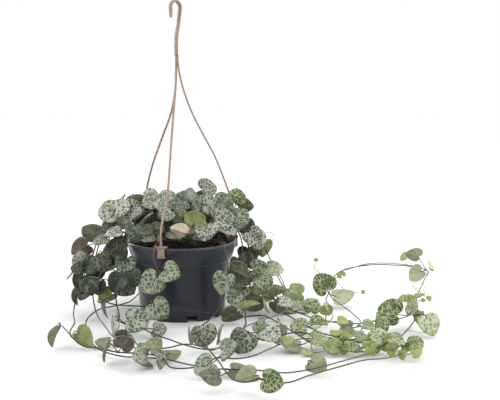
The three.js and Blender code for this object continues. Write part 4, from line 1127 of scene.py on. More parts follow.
class Shader:
    """A material with a Principled shader, and short calls for the nodes that drive it."""

    CELL_RANDOMNESS = 0.85

    def __init__(self, name, roughness=0.5, **sockets):
        self.material = bpy.data.materials.new(name)
        self.material.use_nodes = True
        self.tree = self.material.node_tree
        self.surface = self.tree.nodes["Principled BSDF"]
        self.surface.inputs["Roughness"].default_value = roughness
        for socket, value in sockets.items():
            self.surface.inputs[socket.replace("_", " ")].default_value = value

    def node(self, kind, inputs=(), **settings):
        made = self.tree.nodes.new(kind)
        for key, value in settings.items():
            setattr(made, key, value)
        for key, value in dict(inputs).items():
            self.put(made.inputs[key], value)
        return made

    def put(self, socket, value):
        if isinstance(value, bpy.types.NodeSocket):
            self.tree.links.new(value, socket)
        else:
            socket.default_value = value

    def attribute(self, name):
        return self.node("ShaderNodeAttribute", attribute_name=name)

    def math(self, operation, a, b):
        return self.node("ShaderNodeMath", {0: a, 1: b}, operation=operation).outputs[0]

    def inverse(self, value):
        return self.math("SUBTRACT", 1.0, value)

    def product(self, a, b):
        return self.math("MULTIPLY", a, b)

    def total(self, a, b):
        return self.math("ADD", a, b)

    def lines(self, place, size, reach):
        """A net of thin lines: 1 on the edges of cells and 0 from the reach on."""
        return self.inverse(self.step(self.voronoi(place, size), 0.0, reach))

    def leaf_values(self):
        """The place on a leaf, its pale and deep colours, and (silver, youth, from rib)."""
        marks = {"Color": self.attribute("marks").outputs["Color"]}
        return (self.attribute("place").outputs["Vector"], self.attribute("pale").outputs["Color"],
                self.attribute("deep").outputs["Color"],
                self.node("ShaderNodeSeparateColor", marks).outputs)

    def object_place(self):
        return self.node("ShaderNodeTexCoord").outputs["Object"]

    def stretched(self, place, by):
        inputs = {0: place, 1: by}
        return self.node("ShaderNodeVectorMath", inputs, operation="MULTIPLY").outputs[0]

    def moved(self, place, by):
        inputs = {0: place, 1: by}
        return self.node("ShaderNodeVectorMath", inputs, operation="ADD").outputs[0]

    def noise(self, place, size, detail, roughness=0.5):
        """Clouds of a size, with so many finer layers over them."""
        inputs = {"Vector": place, "Scale": size, "Detail": detail, "Roughness": roughness}
        return self.node("ShaderNodeTexNoise", inputs).outputs

    def voronoi(self, place, size, feature="DISTANCE_TO_EDGE"):
        inputs = {"Vector": place, "Scale": size, "Randomness": self.CELL_RANDOMNESS}
        return self.node("ShaderNodeTexVoronoi", inputs, feature=feature).outputs["Distance"]

    def step(self, value, low, high):
        """0 below low and 1 above high, smoothly between."""
        inputs = {"Value": value, "From Min": low, "From Max": high}
        made = self.node("ShaderNodeMapRange", inputs, interpolation_type="SMOOTHSTEP")
        return made.outputs["Result"]

    def remap(self, value, low, high):
        """From low, where the value is 0, to high, where it is 1."""
        inputs = {"Value": value, "To Min": low, "To Max": high}
        return self.node("ShaderNodeMapRange", inputs).outputs["Result"]

    def mix(self, share, a, b):
        """From colour a to colour b by the share."""
        made = self.node("ShaderNodeMix", data_type="RGBA")
        self.put(made.inputs[0], share)
        self.put(made.inputs[6], colour(a))
        self.put(made.inputs[7], colour(b))
        return made.outputs[2]

    def bump(self, height, strength, reach):
        """Small relief of a height: the reach is its depth in mm."""
        inputs = {"Height": height, "Strength": strength, "Distance": reach * MM}
        return self.node("ShaderNodeBump", inputs).outputs["Normal"]

    def finish(self, base, roughness=None, normal=None):
        self.put(self.surface.inputs["Base Color"], colour(base))
        if roughness is not None:
            self.put(self.surface.inputs["Roughness"], roughness)
        if normal is not None:
            self.put(self.surface.inputs["Normal"], normal)
        return self.material


def colour(value):
    """A colour of three parts with its alpha; anything else stays as it is."""
    return (*value, 1.0) if isinstance(value, tuple) and len(value) == 3 else value


# ---------------------------------------------------------------- materials


# Sizes are the scales of patterns, pairs are the low and high ends of a step or of a range that a
# pattern is spread over, and the other numbers are shares. Bumps are (strength, depth in mm).
TOP = {
    "gloss": 0.25, "warp_size": 0.9, "warp": (0.55, 0.55, 0.0), "cells": 1.0, "patch_size": 0.45,
    "silver": 0.14, "patch": (-0.08, 0.18), "net": (-0.05, 0.06), "fine_cells": 2.4,
    "fine": 0.1, "fine_silver": (0.05, 0.22), "grain_size": 3.0, "grain": (0.3, 0.7),
    "grain_deep": 0.3, "island": (0.15, 0.5), "island_pale": 0.16, "margin": (0.88, 0.97),
    "green": (0.06, 0.085, 0.035), "green_pale": 0.25, "green_share": 0.5, "margin_share": 0.7,
    "young_net": 0.35, "edge_height": 0.8, "rough": (0.42, 0.58), "bump": (0.35, 0.2),
}
UNDER = {
    "gloss": 0.3, "cloud_size": 0.35, "cloud": (0.32, 0.66), "vein_cells": 0.5, "vein": 0.1,
    "vein_share": 0.3, "vein_colour": (0.4, 0.42, 0.28), "vein_mix": 0.5, "rib": (0.01, 0.07),
    "rib_share": 0.45, "rib_colour": (0.3, 0.31, 0.19), "edge": (0.9, 1.0),
    "edge_youth": (0.45, 0.0), "edge_colour": (0.17, 0.2, 0.1), "vein_height": 0.5,
    "rough": (0.42, 0.55), "bump": (0.4, 0.3),
}
SKIN = {
    "gloss": 0.3, "size": 0.12, "brown": ((0.018, 0.011, 0.009), (0.055, 0.033, 0.026)),
    "red": (0.075, 0.021, 0.015), "red_share": 0.8, "pale": (0.15, 0.11, 0.055),
    "pale_share": 0.6, "green": (0.2, 0.25, 0.07), "green_share": 0.8, "bump_size": 1.1,
    "rough": (0.42, 0.6), "bump": (0.3, 0.2),
}
GREY = {
    "gloss": 0.42, "sheen": 0.3, "sheen_rough": 0.35, "grain_size": 2600, "cloud_size": 38,
    "streaks": (90.0, 90.0, 7.0), "dark": ((0.0085, 0.0105, 0.0155), (0.0145, 0.0175, 0.025)),
    "scuff": (0.62, 0.8), "scuff_share": 0.3, "scuff_colour": (0.04, 0.044, 0.052),
    "level": (0.3, 0.95), "dust": (0.1, 0.5), "dust_colour": (0.14, 0.13, 0.12),
    "rough": (0.27, 0.37), "scuff_rough": 0.12, "streak_height": 0.6, "bump": (0.25, 0.05),
}
TAN = {
    "gloss": 0.5, "flow": (300.0, 300.0, 25.0), "cloud_size": 60,
    "brown": ((0.16, 0.105, 0.072), (0.22, 0.148, 0.103)), "lines": (0.45, 0.7),
    "line_share": 0.3, "line_colour": (0.25, 0.18, 0.135), "rough": (0.34, 0.5),
    "bump": (0.25, 0.1),
}
PEAT = {
    "gloss": 0.15, "crumb_size": 900, "clumps": 420, "rough": 0.95, "bump": (0.9, 0.9),
    "dark": ((0.006, 0.004, 0.003), (0.035, 0.024, 0.017)),
}
BITS = {
    "gloss": 0.2, "size": 1500, "fleck": (0.0, 0.6), "dark": (0.012, 0.008, 0.006), "rough": 0.9,
    "bump": (0.6, 0.3),
}


def make_leaf_top():
    """Dark islands in a pale net, in each leaf's own two colours, with a green margin."""
    s = Shader("leaf_top", Specular_IOR_Level=TOP["gloss"])
    place, pale, deep, (silver, youth, from_rib) = s.leaf_values()
    warp = s.stretched(s.noise(place, TOP["warp_size"], 2.0)["Color"], TOP["warp"])
    bent = s.moved(place, warp)
    edge = s.voronoi(bent, TOP["cells"])
    patch = s.remap(s.noise(place, TOP["patch_size"], 2.0)["Fac"], *TOP["patch"])
    width = s.total(s.product(silver, TOP["silver"]), patch)
    net = s.inverse(s.step(s.math("SUBTRACT", edge, width), *TOP["net"]))
    fine = s.lines(bent, TOP["fine_cells"], TOP["fine"])
    net = s.math("MAXIMUM", net, s.product(fine, s.remap(silver, *TOP["fine_silver"])))
    grain = s.step(s.noise(place, TOP["grain_size"], 2.0)["Fac"], *TOP["grain"])
    light = s.mix(grain, s.mix(TOP["grain_deep"], pale, deep), pale)
    island = s.mix(s.step(edge, *TOP["island"]), deep, s.mix(TOP["island_pale"], deep, pale))
    face = s.mix(net, island, light)
    green = s.mix(TOP["green_share"], s.mix(TOP["green_pale"], deep, pale), TOP["green"])
    margin = s.product(s.step(from_rib, *TOP["margin"]), TOP["margin_share"])
    face = s.mix(margin, face, green)
    face = s.mix(youth, face, s.mix(s.product(net, TOP["young_net"]), deep, pale))
    height = s.total(net, s.product(edge, TOP["edge_height"]))
    return s.finish(face, s.remap(net, *TOP["rough"]), s.bump(height, *TOP["bump"]))


def make_leaf_under():
    """Each leaf's own green, olive, purple or cream, clouded, with a rib and a net of veins."""
    s = Shader("leaf_under", Specular_IOR_Level=UNDER["gloss"])
    place, pale, deep, (_, youth, from_rib) = s.leaf_values()
    cloud = s.noise(place, UNDER["cloud_size"], 4.0, 0.6)["Fac"]
    base = s.mix(s.step(cloud, *UNDER["cloud"]), deep, pale)
    veins = s.lines(place, UNDER["vein_cells"], UNDER["vein"])
    vein_colour = s.mix(UNDER["vein_mix"], pale, UNDER["vein_colour"])
    base = s.mix(s.product(veins, UNDER["vein_share"]), base, vein_colour)
    rib = s.inverse(s.step(from_rib, *UNDER["rib"]))
    base = s.mix(s.product(rib, UNDER["rib_share"]), base, UNDER["rib_colour"])
    edge = s.product(s.step(from_rib, *UNDER["edge"]), s.remap(youth, *UNDER["edge_youth"]))
    base = s.mix(edge, base, UNDER["edge_colour"])
    height = s.total(s.product(veins, UNDER["vein_height"]), rib)
    return s.finish(base, s.remap(cloud, *UNDER["rough"]), s.bump(height, *UNDER["bump"]))


def make_stem_skin():
    """Thin purple-brown stems, redder over the first part of their run outside the rim, dark brown
    inside it as painted shade, and greener towards their tips.
    """
    s = Shader("stem_skin", Specular_IOR_Level=SKIN["gloss"])
    place = s.attribute("place").outputs["Vector"]
    tone = s.attribute("tone").outputs["Color"]
    red, green, pale = s.node("ShaderNodeSeparateColor", {"Color": tone}).outputs
    along = s.noise(place, SKIN["size"], 3.0)["Fac"]
    base = s.mix(along, *SKIN["brown"])
    for part, name in ((red, "red"), (pale, "pale"), (green, "green")):
        base = s.mix(s.product(part, SKIN[f"{name}_share"]), base, SKIN[name])
    height = s.noise(place, SKIN["bump_size"], 2.0)["Fac"]
    return s.finish(base, s.remap(along, *SKIN["rough"]), s.bump(height, *SKIN["bump"]))


def make_pot_plastic():
    """Dark grey moulded plastic with a fine grain, a little dust and faint scuffs."""
    s = Shader("pot_plastic", Specular_IOR_Level=GREY["gloss"], Sheen_Weight=GREY["sheen"],
               Sheen_Roughness=GREY["sheen_rough"])
    place = s.object_place()
    grain = s.noise(place, GREY["grain_size"], 2.0)["Fac"]
    cloud = s.noise(place, GREY["cloud_size"], 4.0)["Fac"]
    streak = s.noise(s.stretched(place, GREY["streaks"]), 1.0, 3.0)["Fac"]
    scuff = s.step(streak, *GREY["scuff"])
    base = s.mix(cloud, *GREY["dark"])
    base = s.mix(s.product(scuff, GREY["scuff_share"]), base, GREY["scuff_colour"])
    up = s.node("ShaderNodeSeparateXYZ", {0: s.node("ShaderNodeNewGeometry").outputs["Normal"]})
    dust = s.product(s.step(up.outputs[2], *GREY["level"]), s.remap(cloud, *GREY["dust"]))
    base = s.mix(dust, base, GREY["dust_colour"])
    rough = s.total(s.remap(cloud, *GREY["rough"]), s.product(scuff, GREY["scuff_rough"]))
    height = s.total(grain, s.product(streak, GREY["streak_height"]))
    return s.finish(base, rough, s.bump(height, *GREY["bump"]))


def make_hanger_plastic():
    """Tan-brown moulded plastic, slightly glossy, with faint flow lines."""
    s = Shader("hanger_plastic", Specular_IOR_Level=TAN["gloss"])
    place = s.object_place()
    flow = s.noise(s.stretched(place, TAN["flow"]), 1.0, 3.0)["Fac"]
    base = s.mix(s.noise(place, TAN["cloud_size"], 3.0)["Fac"], *TAN["brown"])
    lines = s.product(s.step(flow, *TAN["lines"]), TAN["line_share"])
    base = s.mix(lines, base, TAN["line_colour"])
    return s.finish(base, s.remap(flow, *TAN["rough"]), s.bump(flow, *TAN["bump"]))


def make_soil_mix():
    """Nearly black peat with a rough crumb."""
    s = Shader("soil_mix", Specular_IOR_Level=PEAT["gloss"])
    place = s.object_place()
    crumb = s.noise(place, PEAT["crumb_size"], 6.0, 0.7)["Fac"]
    clump = s.voronoi(place, PEAT["clumps"], "F1")
    base = s.mix(crumb, *PEAT["dark"])
    return s.finish(base, PEAT["rough"], s.bump(s.total(crumb, clump), *PEAT["bump"]))


def make_crumb():
    """Loose bits of peat, bark and fibre, each of its own tone."""
    s = Shader("soil_crumb", Specular_IOR_Level=BITS["gloss"])
    tone = s.attribute("tone").outputs["Color"]
    fleck = s.noise(s.object_place(), BITS["size"], 4.0)["Fac"]
    base = s.mix(s.remap(fleck, *BITS["fleck"]), tone, BITS["dark"])
    return s.finish(base, BITS["rough"], s.bump(fleck, *BITS["bump"]))


LEAF_TOP = make_leaf_top()
LEAF_UNDER = make_leaf_under()
STEM_SKIN = make_stem_skin()
POT_PLASTIC = make_pot_plastic()
HANGER_PLASTIC = make_hanger_plastic()
SOIL_MIX = make_soil_mix()
CRUMB_MIX = make_crumb()

# ---------------------------------------------------------------- leaves

# Half of the finer outline, from the notch round a lobe to the tip, as shares of the size.
LOBE = [
    (0.03, -0.02), (0.11, -0.13), (0.26, -0.175), (0.42, -0.12), (0.515, 0.03), (0.53, 0.21),
    (0.485, 0.39), (0.39, 0.55), (0.25, 0.68), (0.11, 0.77), (0.012, 0.805),
]
LEAF_ROWS = 15
# Where the points of a row stand between the rib and the edge, and how the rows' starts lie
# closer together on the rib near the notch.
LEAF_COLUMNS = (0, 0.06, 0.2, 0.38, 0.56, 0.72, 0.85, 0.94, 1)
RIB_POWER = 1.25
# The pattern's cells over a blade, and how far they are swept towards the tip.
CELLS = {"across": 5.0, "along": 6.2, "sweep": 0.5, "seeds": 40}
UNDER_SLOT = 1
STALK = {
    "radius": 0.55, "end_radius": 0.62, "tip_radius": 0.35, "sides": 7, "steps": 4,
    "inside_stem": 0.02, "under_rib": 1.6, "under_blade": 0.35, "sag": 0.5,
}


def leaf_grid():
    """Rows from the notch to the tip of (u, v, from rib, round, side) points."""
    line = curved(LOBE, 8)
    lengths = np.concatenate([[0], np.cumsum([distance((*a, 0), (*b, 0))
                                              for a, b in zip(line, line[1:])])])
    rows = []
    for i in range(LEAF_ROWS):
        t = i / (LEAF_ROWS - 1)
        u = np.interp(t * lengths[-1], lengths, [p[0] for p in line])
        v = np.interp(t * lengths[-1], lengths, [p[1] for p in line])
        rib = LOBE[-1][1] * t**RIB_POWER
        row = []
        for share in LEAF_COLUMNS[::-1]:
            row.append((-u * share, rib + (v - rib) * share, share, t, -1))
        for share in LEAF_COLUMNS[1:]:
            row.append((u * share, rib + (v - rib) * share, share, t, 1))
        rows.append(row)
    return np.array(rows)


GRID = leaf_grid()
GRID_ROWS, GRID_COLUMNS = GRID.shape[:2]


def leaf_faces():
    """Faces of a blade: its upper side, its lower side and the band round them."""
    count = GRID_ROWS * GRID_COLUMNS
    upper = []
    for i in range(GRID_ROWS - 1):
        for j in range(GRID_COLUMNS - 1):
            a = i * GRID_COLUMNS + j
            upper.append((a, a + 1, a + GRID_COLUMNS + 1, a + GRID_COLUMNS))
    lower = [tuple(count + k for k in face[::-1]) for face in upper]
    last = (GRID_ROWS - 1) * GRID_COLUMNS
    loop = list(range(GRID_COLUMNS))
    loop += [i * GRID_COLUMNS + GRID_COLUMNS - 1 for i in range(1, GRID_ROWS)]
    loop += [last + j for j in range(GRID_COLUMNS - 2, -1, -1)]
    loop += [i * GRID_COLUMNS for i in range(GRID_ROWS - 2, 0, -1)]
    band = [(loop[k], count + loop[k], count + loop[(k + 1) % len(loop)], loop[(k + 1) % len(loop)])
            for k in range(len(loop))]
    return upper + band + lower, [0] * (len(upper) + len(band)) + [UNDER_SLOT] * len(lower)


BLADE_FACES, BLADE_SLOTS = leaf_faces()


# A leaf is young by how small it is and how far out to the right it grows.
YOUNG_SIZE = (12, 16)
YOUNG_REACH = (70, 130)
# How many leaves are folded along the rib, near the crown and on the ground, and how much more.
FOLDED = {"near": 0.2, "far": 0.4, "by": (1.8, 3.2), "cream": 4.5}

# The pale and the deep colour of a leaf's face, and the least and most silver in it.
FACES = {
    "silver": ((0.315, 0.33, 0.27), (0.045, 0.055, 0.033), (0.35, 0.85)),
    "net": ((0.235, 0.26, 0.2), (0.038, 0.049, 0.027), (0.15, 0.5)),
    # dusk: dark faces for the left drape, and painted shade for leaves in the crown's core and its
    # shaded gaps.
    "dusk": ((0.11, 0.125, 0.092), (0.012, 0.017, 0.009), (-0.25, 0.35)),
    "middle": ((0.25, 0.28, 0.2), (0.04, 0.055, 0.026), (0.3, 0.7)),
    "right": ((0.25, 0.3, 0.15), (0.033, 0.052, 0.012), (0.1, 0.5)),
    "mint": ((0.33, 0.365, 0.24), (0.09, 0.12, 0.05), (0.3, 0.8)),
    "fresh": ((0.26, 0.3, 0.14), (0.1, 0.135, 0.04), (0.1, 0.4)),
    # depth: near-black faces, painted shade for leaves deep inside the crown.
    "depth": ((0.055, 0.065, 0.045), (0.009, 0.012, 0.007), (0.0, 0.4)),
    "young": ((0.3, 0.33, 0.14), (0.17, 0.205, 0.06), (0.4, 0.6)),
}
# The pale and the deep colour of a leaf's back.
BACKS = {
    "olive": ((0.135, 0.145, 0.085), (0.075, 0.082, 0.042)),
    "moss": ((0.075, 0.083, 0.042), (0.035, 0.04, 0.018)),
    "dark": ((0.042, 0.045, 0.022), (0.02, 0.022, 0.01)),
    "purple": ((0.11, 0.085, 0.065), (0.06, 0.045, 0.034)),
    "cream": ((0.46, 0.41, 0.33), (0.3, 0.235, 0.18)),
    "pale": ((0.28, 0.3, 0.19), (0.17, 0.19, 0.1)),
    "fresh": ((0.2, 0.22, 0.085), (0.105, 0.125, 0.033)),
    "lime": ((0.22, 0.25, 0.095), (0.14, 0.17, 0.05)),
}

# Parts of the plant whose leaves have other colours: the left drape, the crown with its core,
# where the faces are painted darker as shade, and the right side. A face there has the first look
# whose number is over the draw, and a back has a drawn look of its list.
LEFT = {"x": -45, "below": 88}
CROWN_ABOVE = 84
CORE = {"radius": 46, "below": 101}
RIGHT_X = 60
YOUTH = 0.5
FACE_SHARES = {
    # The core's faces are painted shade: mostly depth, the rest dusk.
    "core": (("depth", 0.6), ("dusk", 1)), "crown": (("silver", 0.4), ("net", 1)),
    "right": (("right", 0.35), ("fresh", 0.55), ("mint", 1)), "rest": (("middle", 0.5), ("net", 1)),
}
BACK_LISTS = {
    "young": ("lime",), "right": ("olive", "pale", "pale", "fresh", "fresh"),
    "rest": ("olive", "moss", "purple", "olive", "moss"),
}
# What is drawn for each blade: the least and the most of its width, its lobes' difference, its
# fold, the height and number of waves in its edge, the curl of its edge, its thickness as a share
# of the most, and its brightness.
BLADE_DRAWS = {
    "width": (0.94, 1.06), "uneven": (-0.07, 0.07), "fold": (0.7, 1.2), "wave": (0.004, 0.02),
    "waves": (1.2, 2.6), "curl": (0.01, 0.06), "thickness": (0.8, 1.0), "bright": (0.88, 1.1),
}
# The softness of the crease, the thickness and roundness of the edge, how soon the tip thins,
# and the height and width of the rib's keel below.
BLADE_FORM = {
    "crease": 0.02, "edge": 0.16, "round": 0.98, "tip_rate": 9, "tip": 0.2, "keel": 0.35,
    "keel_width": 0.09, "curl_fade": 0.5,
}


def growing_place(root):
    """The part of the plant that a leaf grows in, for the colours of its face."""
    x, y, z = root
    if x < LEFT["x"] and z < LEFT["below"]:
        return "left"
    if z > CROWN_ABOVE:
        in_core = math.hypot(x, y) < CORE["radius"] and z < CORE["below"]
        return "core" if in_core else "crown"
    return "right" if x > RIGHT_X else "rest"


def face_look(leaf, draw):
    """The name of a leaf's face colours: its own, or by where it grows and a draw."""
    pick = draw()
    if leaf["own"] in FACES:
        return leaf["own"]
    if leaf["youth"] > YOUTH:
        return "young"
    place = growing_place(leaf["root"])
    if place == "left":
        return "dusk"
    return next(look for look, most in FACE_SHARES[place] if pick < most)


def back_look(leaf, draw):
    """The name of a leaf's back colours: its own, or by where it grows and a draw."""
    pick = draw()
    if leaf["own"] in BACKS:
        return leaf["own"]
    side = "right" if leaf["root"][0] > RIGHT_X else "rest"
    looks = BACK_LISTS["young" if leaf["youth"] > YOUTH else side]
    return looks[int(pick * len(looks))]


def blade_form(leaf, draw):
    """Points of a blade's upper and lower side, and (u, v, share, t) over its grid."""
    size = leaf["size"]
    along = np.array(leaf["along"])
    normal = np.array(leaf["normal"])
    across = np.cross(along, normal)
    form = BLADE_FORM
    u, v, share, t, side = (GRID[..., k] for k in range(5))
    u = (u * draw.spread(*BLADE_DRAWS["width"])
         * (1 + side * draw.spread(*BLADE_DRAWS["uneven"])))
    tilt = math.atan(BLADE["fold"] * draw.spread(*BLADE_DRAWS["fold"]) * leaf["folded"])
    crease = np.sqrt(u * u + form["crease"]**2) - form["crease"]
    u = u * math.cos(tilt)
    rise = math.sin(tilt) * crease * size - BLADE["droop"] * v * v * size * size
    wave = draw.spread(*BLADE_DRAWS["wave"]) * np.sin(
        2 * np.pi * (t * draw.spread(*BLADE_DRAWS["waves"]) + draw()))
    curl = draw.spread(*BLADE_DRAWS["curl"])
    rise = rise + size * (wave * share**2 * side
                          - curl * share**4 * (1 - form["curl_fade"] * t))
    half = 0.5 * BLADE["thickness"] * draw.spread(*BLADE_DRAWS["thickness"])
    ends = np.minimum(1, (1 - t) * form["tip_rate"] + form["tip"])
    depth = half * ends * (
        form["edge"] + (1 - form["edge"]) * np.sqrt(1 - form["round"] * share**5))
    flat = np.array(leaf["root"]) + u[..., None] * size * across + v[..., None] * size * along
    keel = form["keel"] * np.exp(-(share / form["keel_width"]) ** 2) * (1 - t)
    upper = flat + (rise + depth)[..., None] * normal
    lower = flat + (rise - depth - keel)[..., None] * normal
    return upper.reshape(-1, 3), lower.reshape(-1, 3), (u, v, share, t)


def add_blade(pile, leaf, draw):
    """A thick heart-shaped blade, creased along its rib, with a rounded edge."""
    upper, lower, (u, v, share, t) = blade_form(leaf, draw)
    pattern = (v - CELLS["sweep"] * abs(u)) * CELLS["along"]
    seed = np.full_like(t, draw() * CELLS["seeds"])
    place = np.stack([u * CELLS["across"], pattern, seed], axis=-1).reshape(-1, 3)
    face = face_look(leaf, draw)
    silver = np.full_like(t, draw.spread(*FACES[face][2]))
    back = back_look(leaf, draw)
    bright = draw.spread(*BLADE_DRAWS["bright"])
    youth = np.full_like(t, leaf["youth"])
    marks = np.stack([silver, youth, share, np.ones_like(t)], axis=-1).reshape(-1, 4)
    pale, deep = (
        [(*scale(colours[k], bright), 1) for colours in (FACES[face], BACKS[back])
         for _ in range(len(upper))]
        for k in range(2))
    pile.add(np.concatenate([upper, lower]).tolist(), BLADE_FACES, BLADE_SLOTS,
             place=np.tile(place, (2, 1)).tolist(), marks=np.tile(marks, (2, 1)).tolist(),
             pale=pale, deep=deep)


# How much the pattern on a stem moves on for each side of it, and by where the stem starts.
PLACE_SHIFT = {"side": 0.7, "start": 0.37}


def add_tube(pile, points, radii, sides, tone):
    """A stem or stalk, with its length and its side in its place values. A list of tones has
    one for each point."""
    ring_points, faces, labels = sweep(points, radii, sides)
    run = [0.0]
    for a, b in zip(points, points[1:]):
        run.append(run[-1] + distance(a, b))
    start = points[0][0] * PLACE_SHIFT["start"]
    place = [(run[i], k * PLACE_SHIFT["side"], start) for i, k in labels]
    tones = [tone[i] for i, _ in labels] if isinstance(tone, list) else tone
    pile.add(ring_points, faces, place=place, tone=tones)


def add_stalk(pile, leaf, tone):
    """A leaf's stalk, from inside the stem to under the start of the blade's rib."""
    node, root = leaf["node"], leaf["root"]
    line = petiole_points(leaf)[::-1]
    mouth = add(root, scale(leaf["normal"], -STALK["under_blade"] * BLADE["thickness"]))
    middle = line[1] if len(line) == 3 else add(between(node, root, 0.5), (0, 0, -STALK["sag"]))
    start = between(node, line[1], STALK["inside_stem"])
    end = add(mouth, scale(leaf["along"], STALK["under_rib"]))
    points = curved([start, middle, mouth, end], STALK["steps"])
    last = len(points) - 1
    radii = [STALK["radius"] + (STALK["end_radius"] - STALK["radius"]) * i / last
             for i in range(last)]
    add_tube(pile, points, radii + [STALK["tip_radius"]], STALK["sides"], tone)


# ---------------------------------------------------------------- stems and whole plants

STEM_SKIN_RADIUS = {"base": 0.76, "tip": 0.6, "node": 0.3, "power": 1.3, "sides": 8}
REDDISH = ("left_red", "front", "right_front")
DEEP_STEMS = ("foot_runner",)
# The least and most redness of the reddish stems and of the others, and the paleness of all.
STEM_DRAWS = {"red": (0.5, 1.0), "other": (0.0, 0.3), "pale": (0.0, 0.35)}
# Stems are redder from the rim outwards, over the first part of their run, and green at the tip.
# Inside the rim they keep their dark brown, without red or paleness, as painted shade over the soil.
RED_OUT = (52, 64)
RED_REACH = (110, 220)
GREEN_TIP = {"from": 0.82, "most": 0.5}
# The steps of the finer line between two samples of a stem.
STEM_STEPS = 2
# A stalk has this share of its stem's redness, and is this green.
STALK_RED = 0.5
STALK_GREEN = (0.1, 0.4)
FILLING_RED = 0.1


def stem_radii(plant):
    """The stem's radius at each sample: tapering, with a small swelling at each pair."""
    count = len(plant["samples"])
    knots = {plant["knots"][i + 1] for i, p in enumerate(plant["route"]) if len(p) > 3}
    radii = []
    base, tip = STEM_SKIN_RADIUS["base"], STEM_SKIN_RADIUS["tip"]
    for i in range(count):
        taper = base + (tip - base) * (i / (count - 1)) ** STEM_SKIN_RADIUS["power"]
        radii.append(taper + (STEM_SKIN_RADIUS["node"] if i in knots else 0))
    return radii


def make_plant(plant, draw):
    """One stem with its stalks, and one piece with all its blades."""
    name = plant["name"]
    samples = [tuple(p) for p in plant["samples"]]
    fine = curved([(*p, r) for p, r in zip(samples, stem_radii(plant))], STEM_STEPS)
    count = len(fine)
    redness = draw.spread(*STEM_DRAWS["red" if name in REDDISH else "other"])
    paleness = draw.spread(*STEM_DRAWS["pale"])
    if name in DEEP_STEMS:
        redness = paleness = 0
    tones = []
    for i, (x, y, *_) in enumerate(fine):
        # Painted shade: no red or paleness inside the rim, so the stems over the soil stay dark.
        out = smooth(*RED_OUT, math.hypot(x, y))
        near = 1 - smooth(*RED_REACH, i * STEM["sample_step"] / STEM_STEPS)
        green = GREEN_TIP["most"] * smooth(GREEN_TIP["from"], 1.0, i / count)
        tones.append((redness * out * near, green, paleness * out, 0))
    stems = Pile()
    add_tube(stems, [p[:3] for p in fine], [p[3] for p in fine], STEM_SKIN_RADIUS["sides"], tones)
    blades = Pile()
    add_leaves(stems, blades, plant["leaves"], redness * STALK_RED, paleness, draw)
    build_pair(stems, blades, f"{name}_stem", f"{name}_leaves", [name])


def add_leaves(stems, blades, leaves, redness, paleness, draw):
    """Adds each leaf's stalk and its blade, which is folded by its colours or by a draw."""
    for leaf in leaves:
        if draw() < FOLDED["far" if leaf["root"][2] < LYING_HEIGHT else "near"]:
            leaf["folded"] = draw.spread(*FOLDED["by"])
        if leaf["own"] == "cream":
            leaf["folded"] = FOLDED["cream"]
        near_tip = smooth(*YOUNG_REACH, leaf["root"][0])
        leaf["youth"] = near_tip * (1 - smooth(*YOUNG_SIZE, leaf["size"]))
        green = max(leaf["youth"], draw.spread(*STALK_GREEN))
        add_stalk(stems, leaf, (redness, green, paleness, 0))
        add_blade(blades, leaf, draw)


def make_filling(leaves, draw):
    """The stalks and the blades of the leaves that only the scene has."""
    stems = Pile()
    blades = Pile()
    add_leaves(stems, blades, leaves, FILLING_RED, 0.0, draw)
    build_pair(stems, blades, "crown_inner_stalks", "crown_inner_leaves", [])


# ---------------------------------------------------------------- the pot

POT_SEGMENTS = 144
# The section of the pot from the middle of its underside, round the outside, over the rim and
# down inside to the middle of its floor: each corner with the radius that it is rounded by.
FOOT_INSIDE = POT["foot_radius"] - POT["foot_wall"]
POT_UNDERSIDE = [
    (0, 0), (POT["hub_radius"], 0), (POT["hub_radius"], POT["foot_height"]),
    (FOOT_INSIDE, POT["foot_height"]), (FOOT_INSIDE, 0),
]
POT_ROUNDING = [
    0, 0.4, 0.6, 0.6, 0.4, 0.7, 1.2, 0.5, 0.6, 4, 4, 1.0, 0.9, 0.9, 0.8, 4, 4, 4, 1.5, 0,
]
ARC_STEPS = 4
# The most of a side that an arc may take up.
ARC_SHARE = 0.45
# How far cutters pass what they cut, ribs reach into the foot, and ribs stand into the floor.
PAST = 1
RIB_RISE = 0.05
DRAIN_SEGMENTS = 24
BEVEL = {"segments": 2, "limit_method": "ANGLE"}
POT_BEVEL = {"width": 0.35 * MM, "angle_limit": math.radians(50), **BEVEL}
POT_SHARP = 40


def rounded(points, radii):
    """The polyline with each corner that has a radius turned into an arc of a few points."""
    line = []
    for i, point in enumerate(points):
        radius = radii[i]
        if radius == 0 or i in (0, len(points) - 1):
            line.append(point)
            continue
        here = Vector(point)
        back = Vector(points[i - 1]) - here
        ahead = Vector(points[i + 1]) - here
        cut = min(radius, back.length * ARC_SHARE, ahead.length * ARC_SHARE)
        start = here + back.normalized() * cut
        end = here + ahead.normalized() * cut
        for j in range(ARC_STEPS + 1):
            w = j / ARC_STEPS
            line.append(tuple(start * (1 - w)**2 + here * 2 * w * (1 - w) + end * w * w))
    return line


def revolve(profile, segments):
    """A closed turned body. The profile starts and ends on the axis."""
    rings = profile[1:-1]
    points = [(0, 0, profile[0][1])]
    for radius, z in rings:
        points += circle(radius, z, segments)
    points.append((0, 0, profile[-1][1]))
    return points, turned_faces(len(rings), segments)


BOX_FACES = [
    (0, 1, 3, 2), (4, 6, 7, 5), (0, 4, 5, 1), (2, 3, 7, 6), (0, 2, 6, 4), (1, 5, 7, 3),
]


def box_at(size, radius, z, angle):
    """Corners and faces of a box with its centre at (radius, 0, z), turned about the Z axis."""
    c = math.cos(math.radians(angle))
    s = math.sin(math.radians(angle))
    points = []
    for dx, dy, dz in itertools.product((-0.5, 0.5), repeat=3):
        x = radius + dx * size[0]
        y = dy * size[1]
        points.append((x * c - y * s, x * s + y * c, z + dz * size[2]))
    return points, BOX_FACES


def plain_object(name, pile):
    """A body without a material, for modifiers to work on or with."""
    mesh = bpy.data.meshes.new(name)
    mesh.from_pydata([scale(p, MM) for p in pile.points], [], pile.faces)
    return put_in_scene(bpy.data.objects.new(name, mesh))


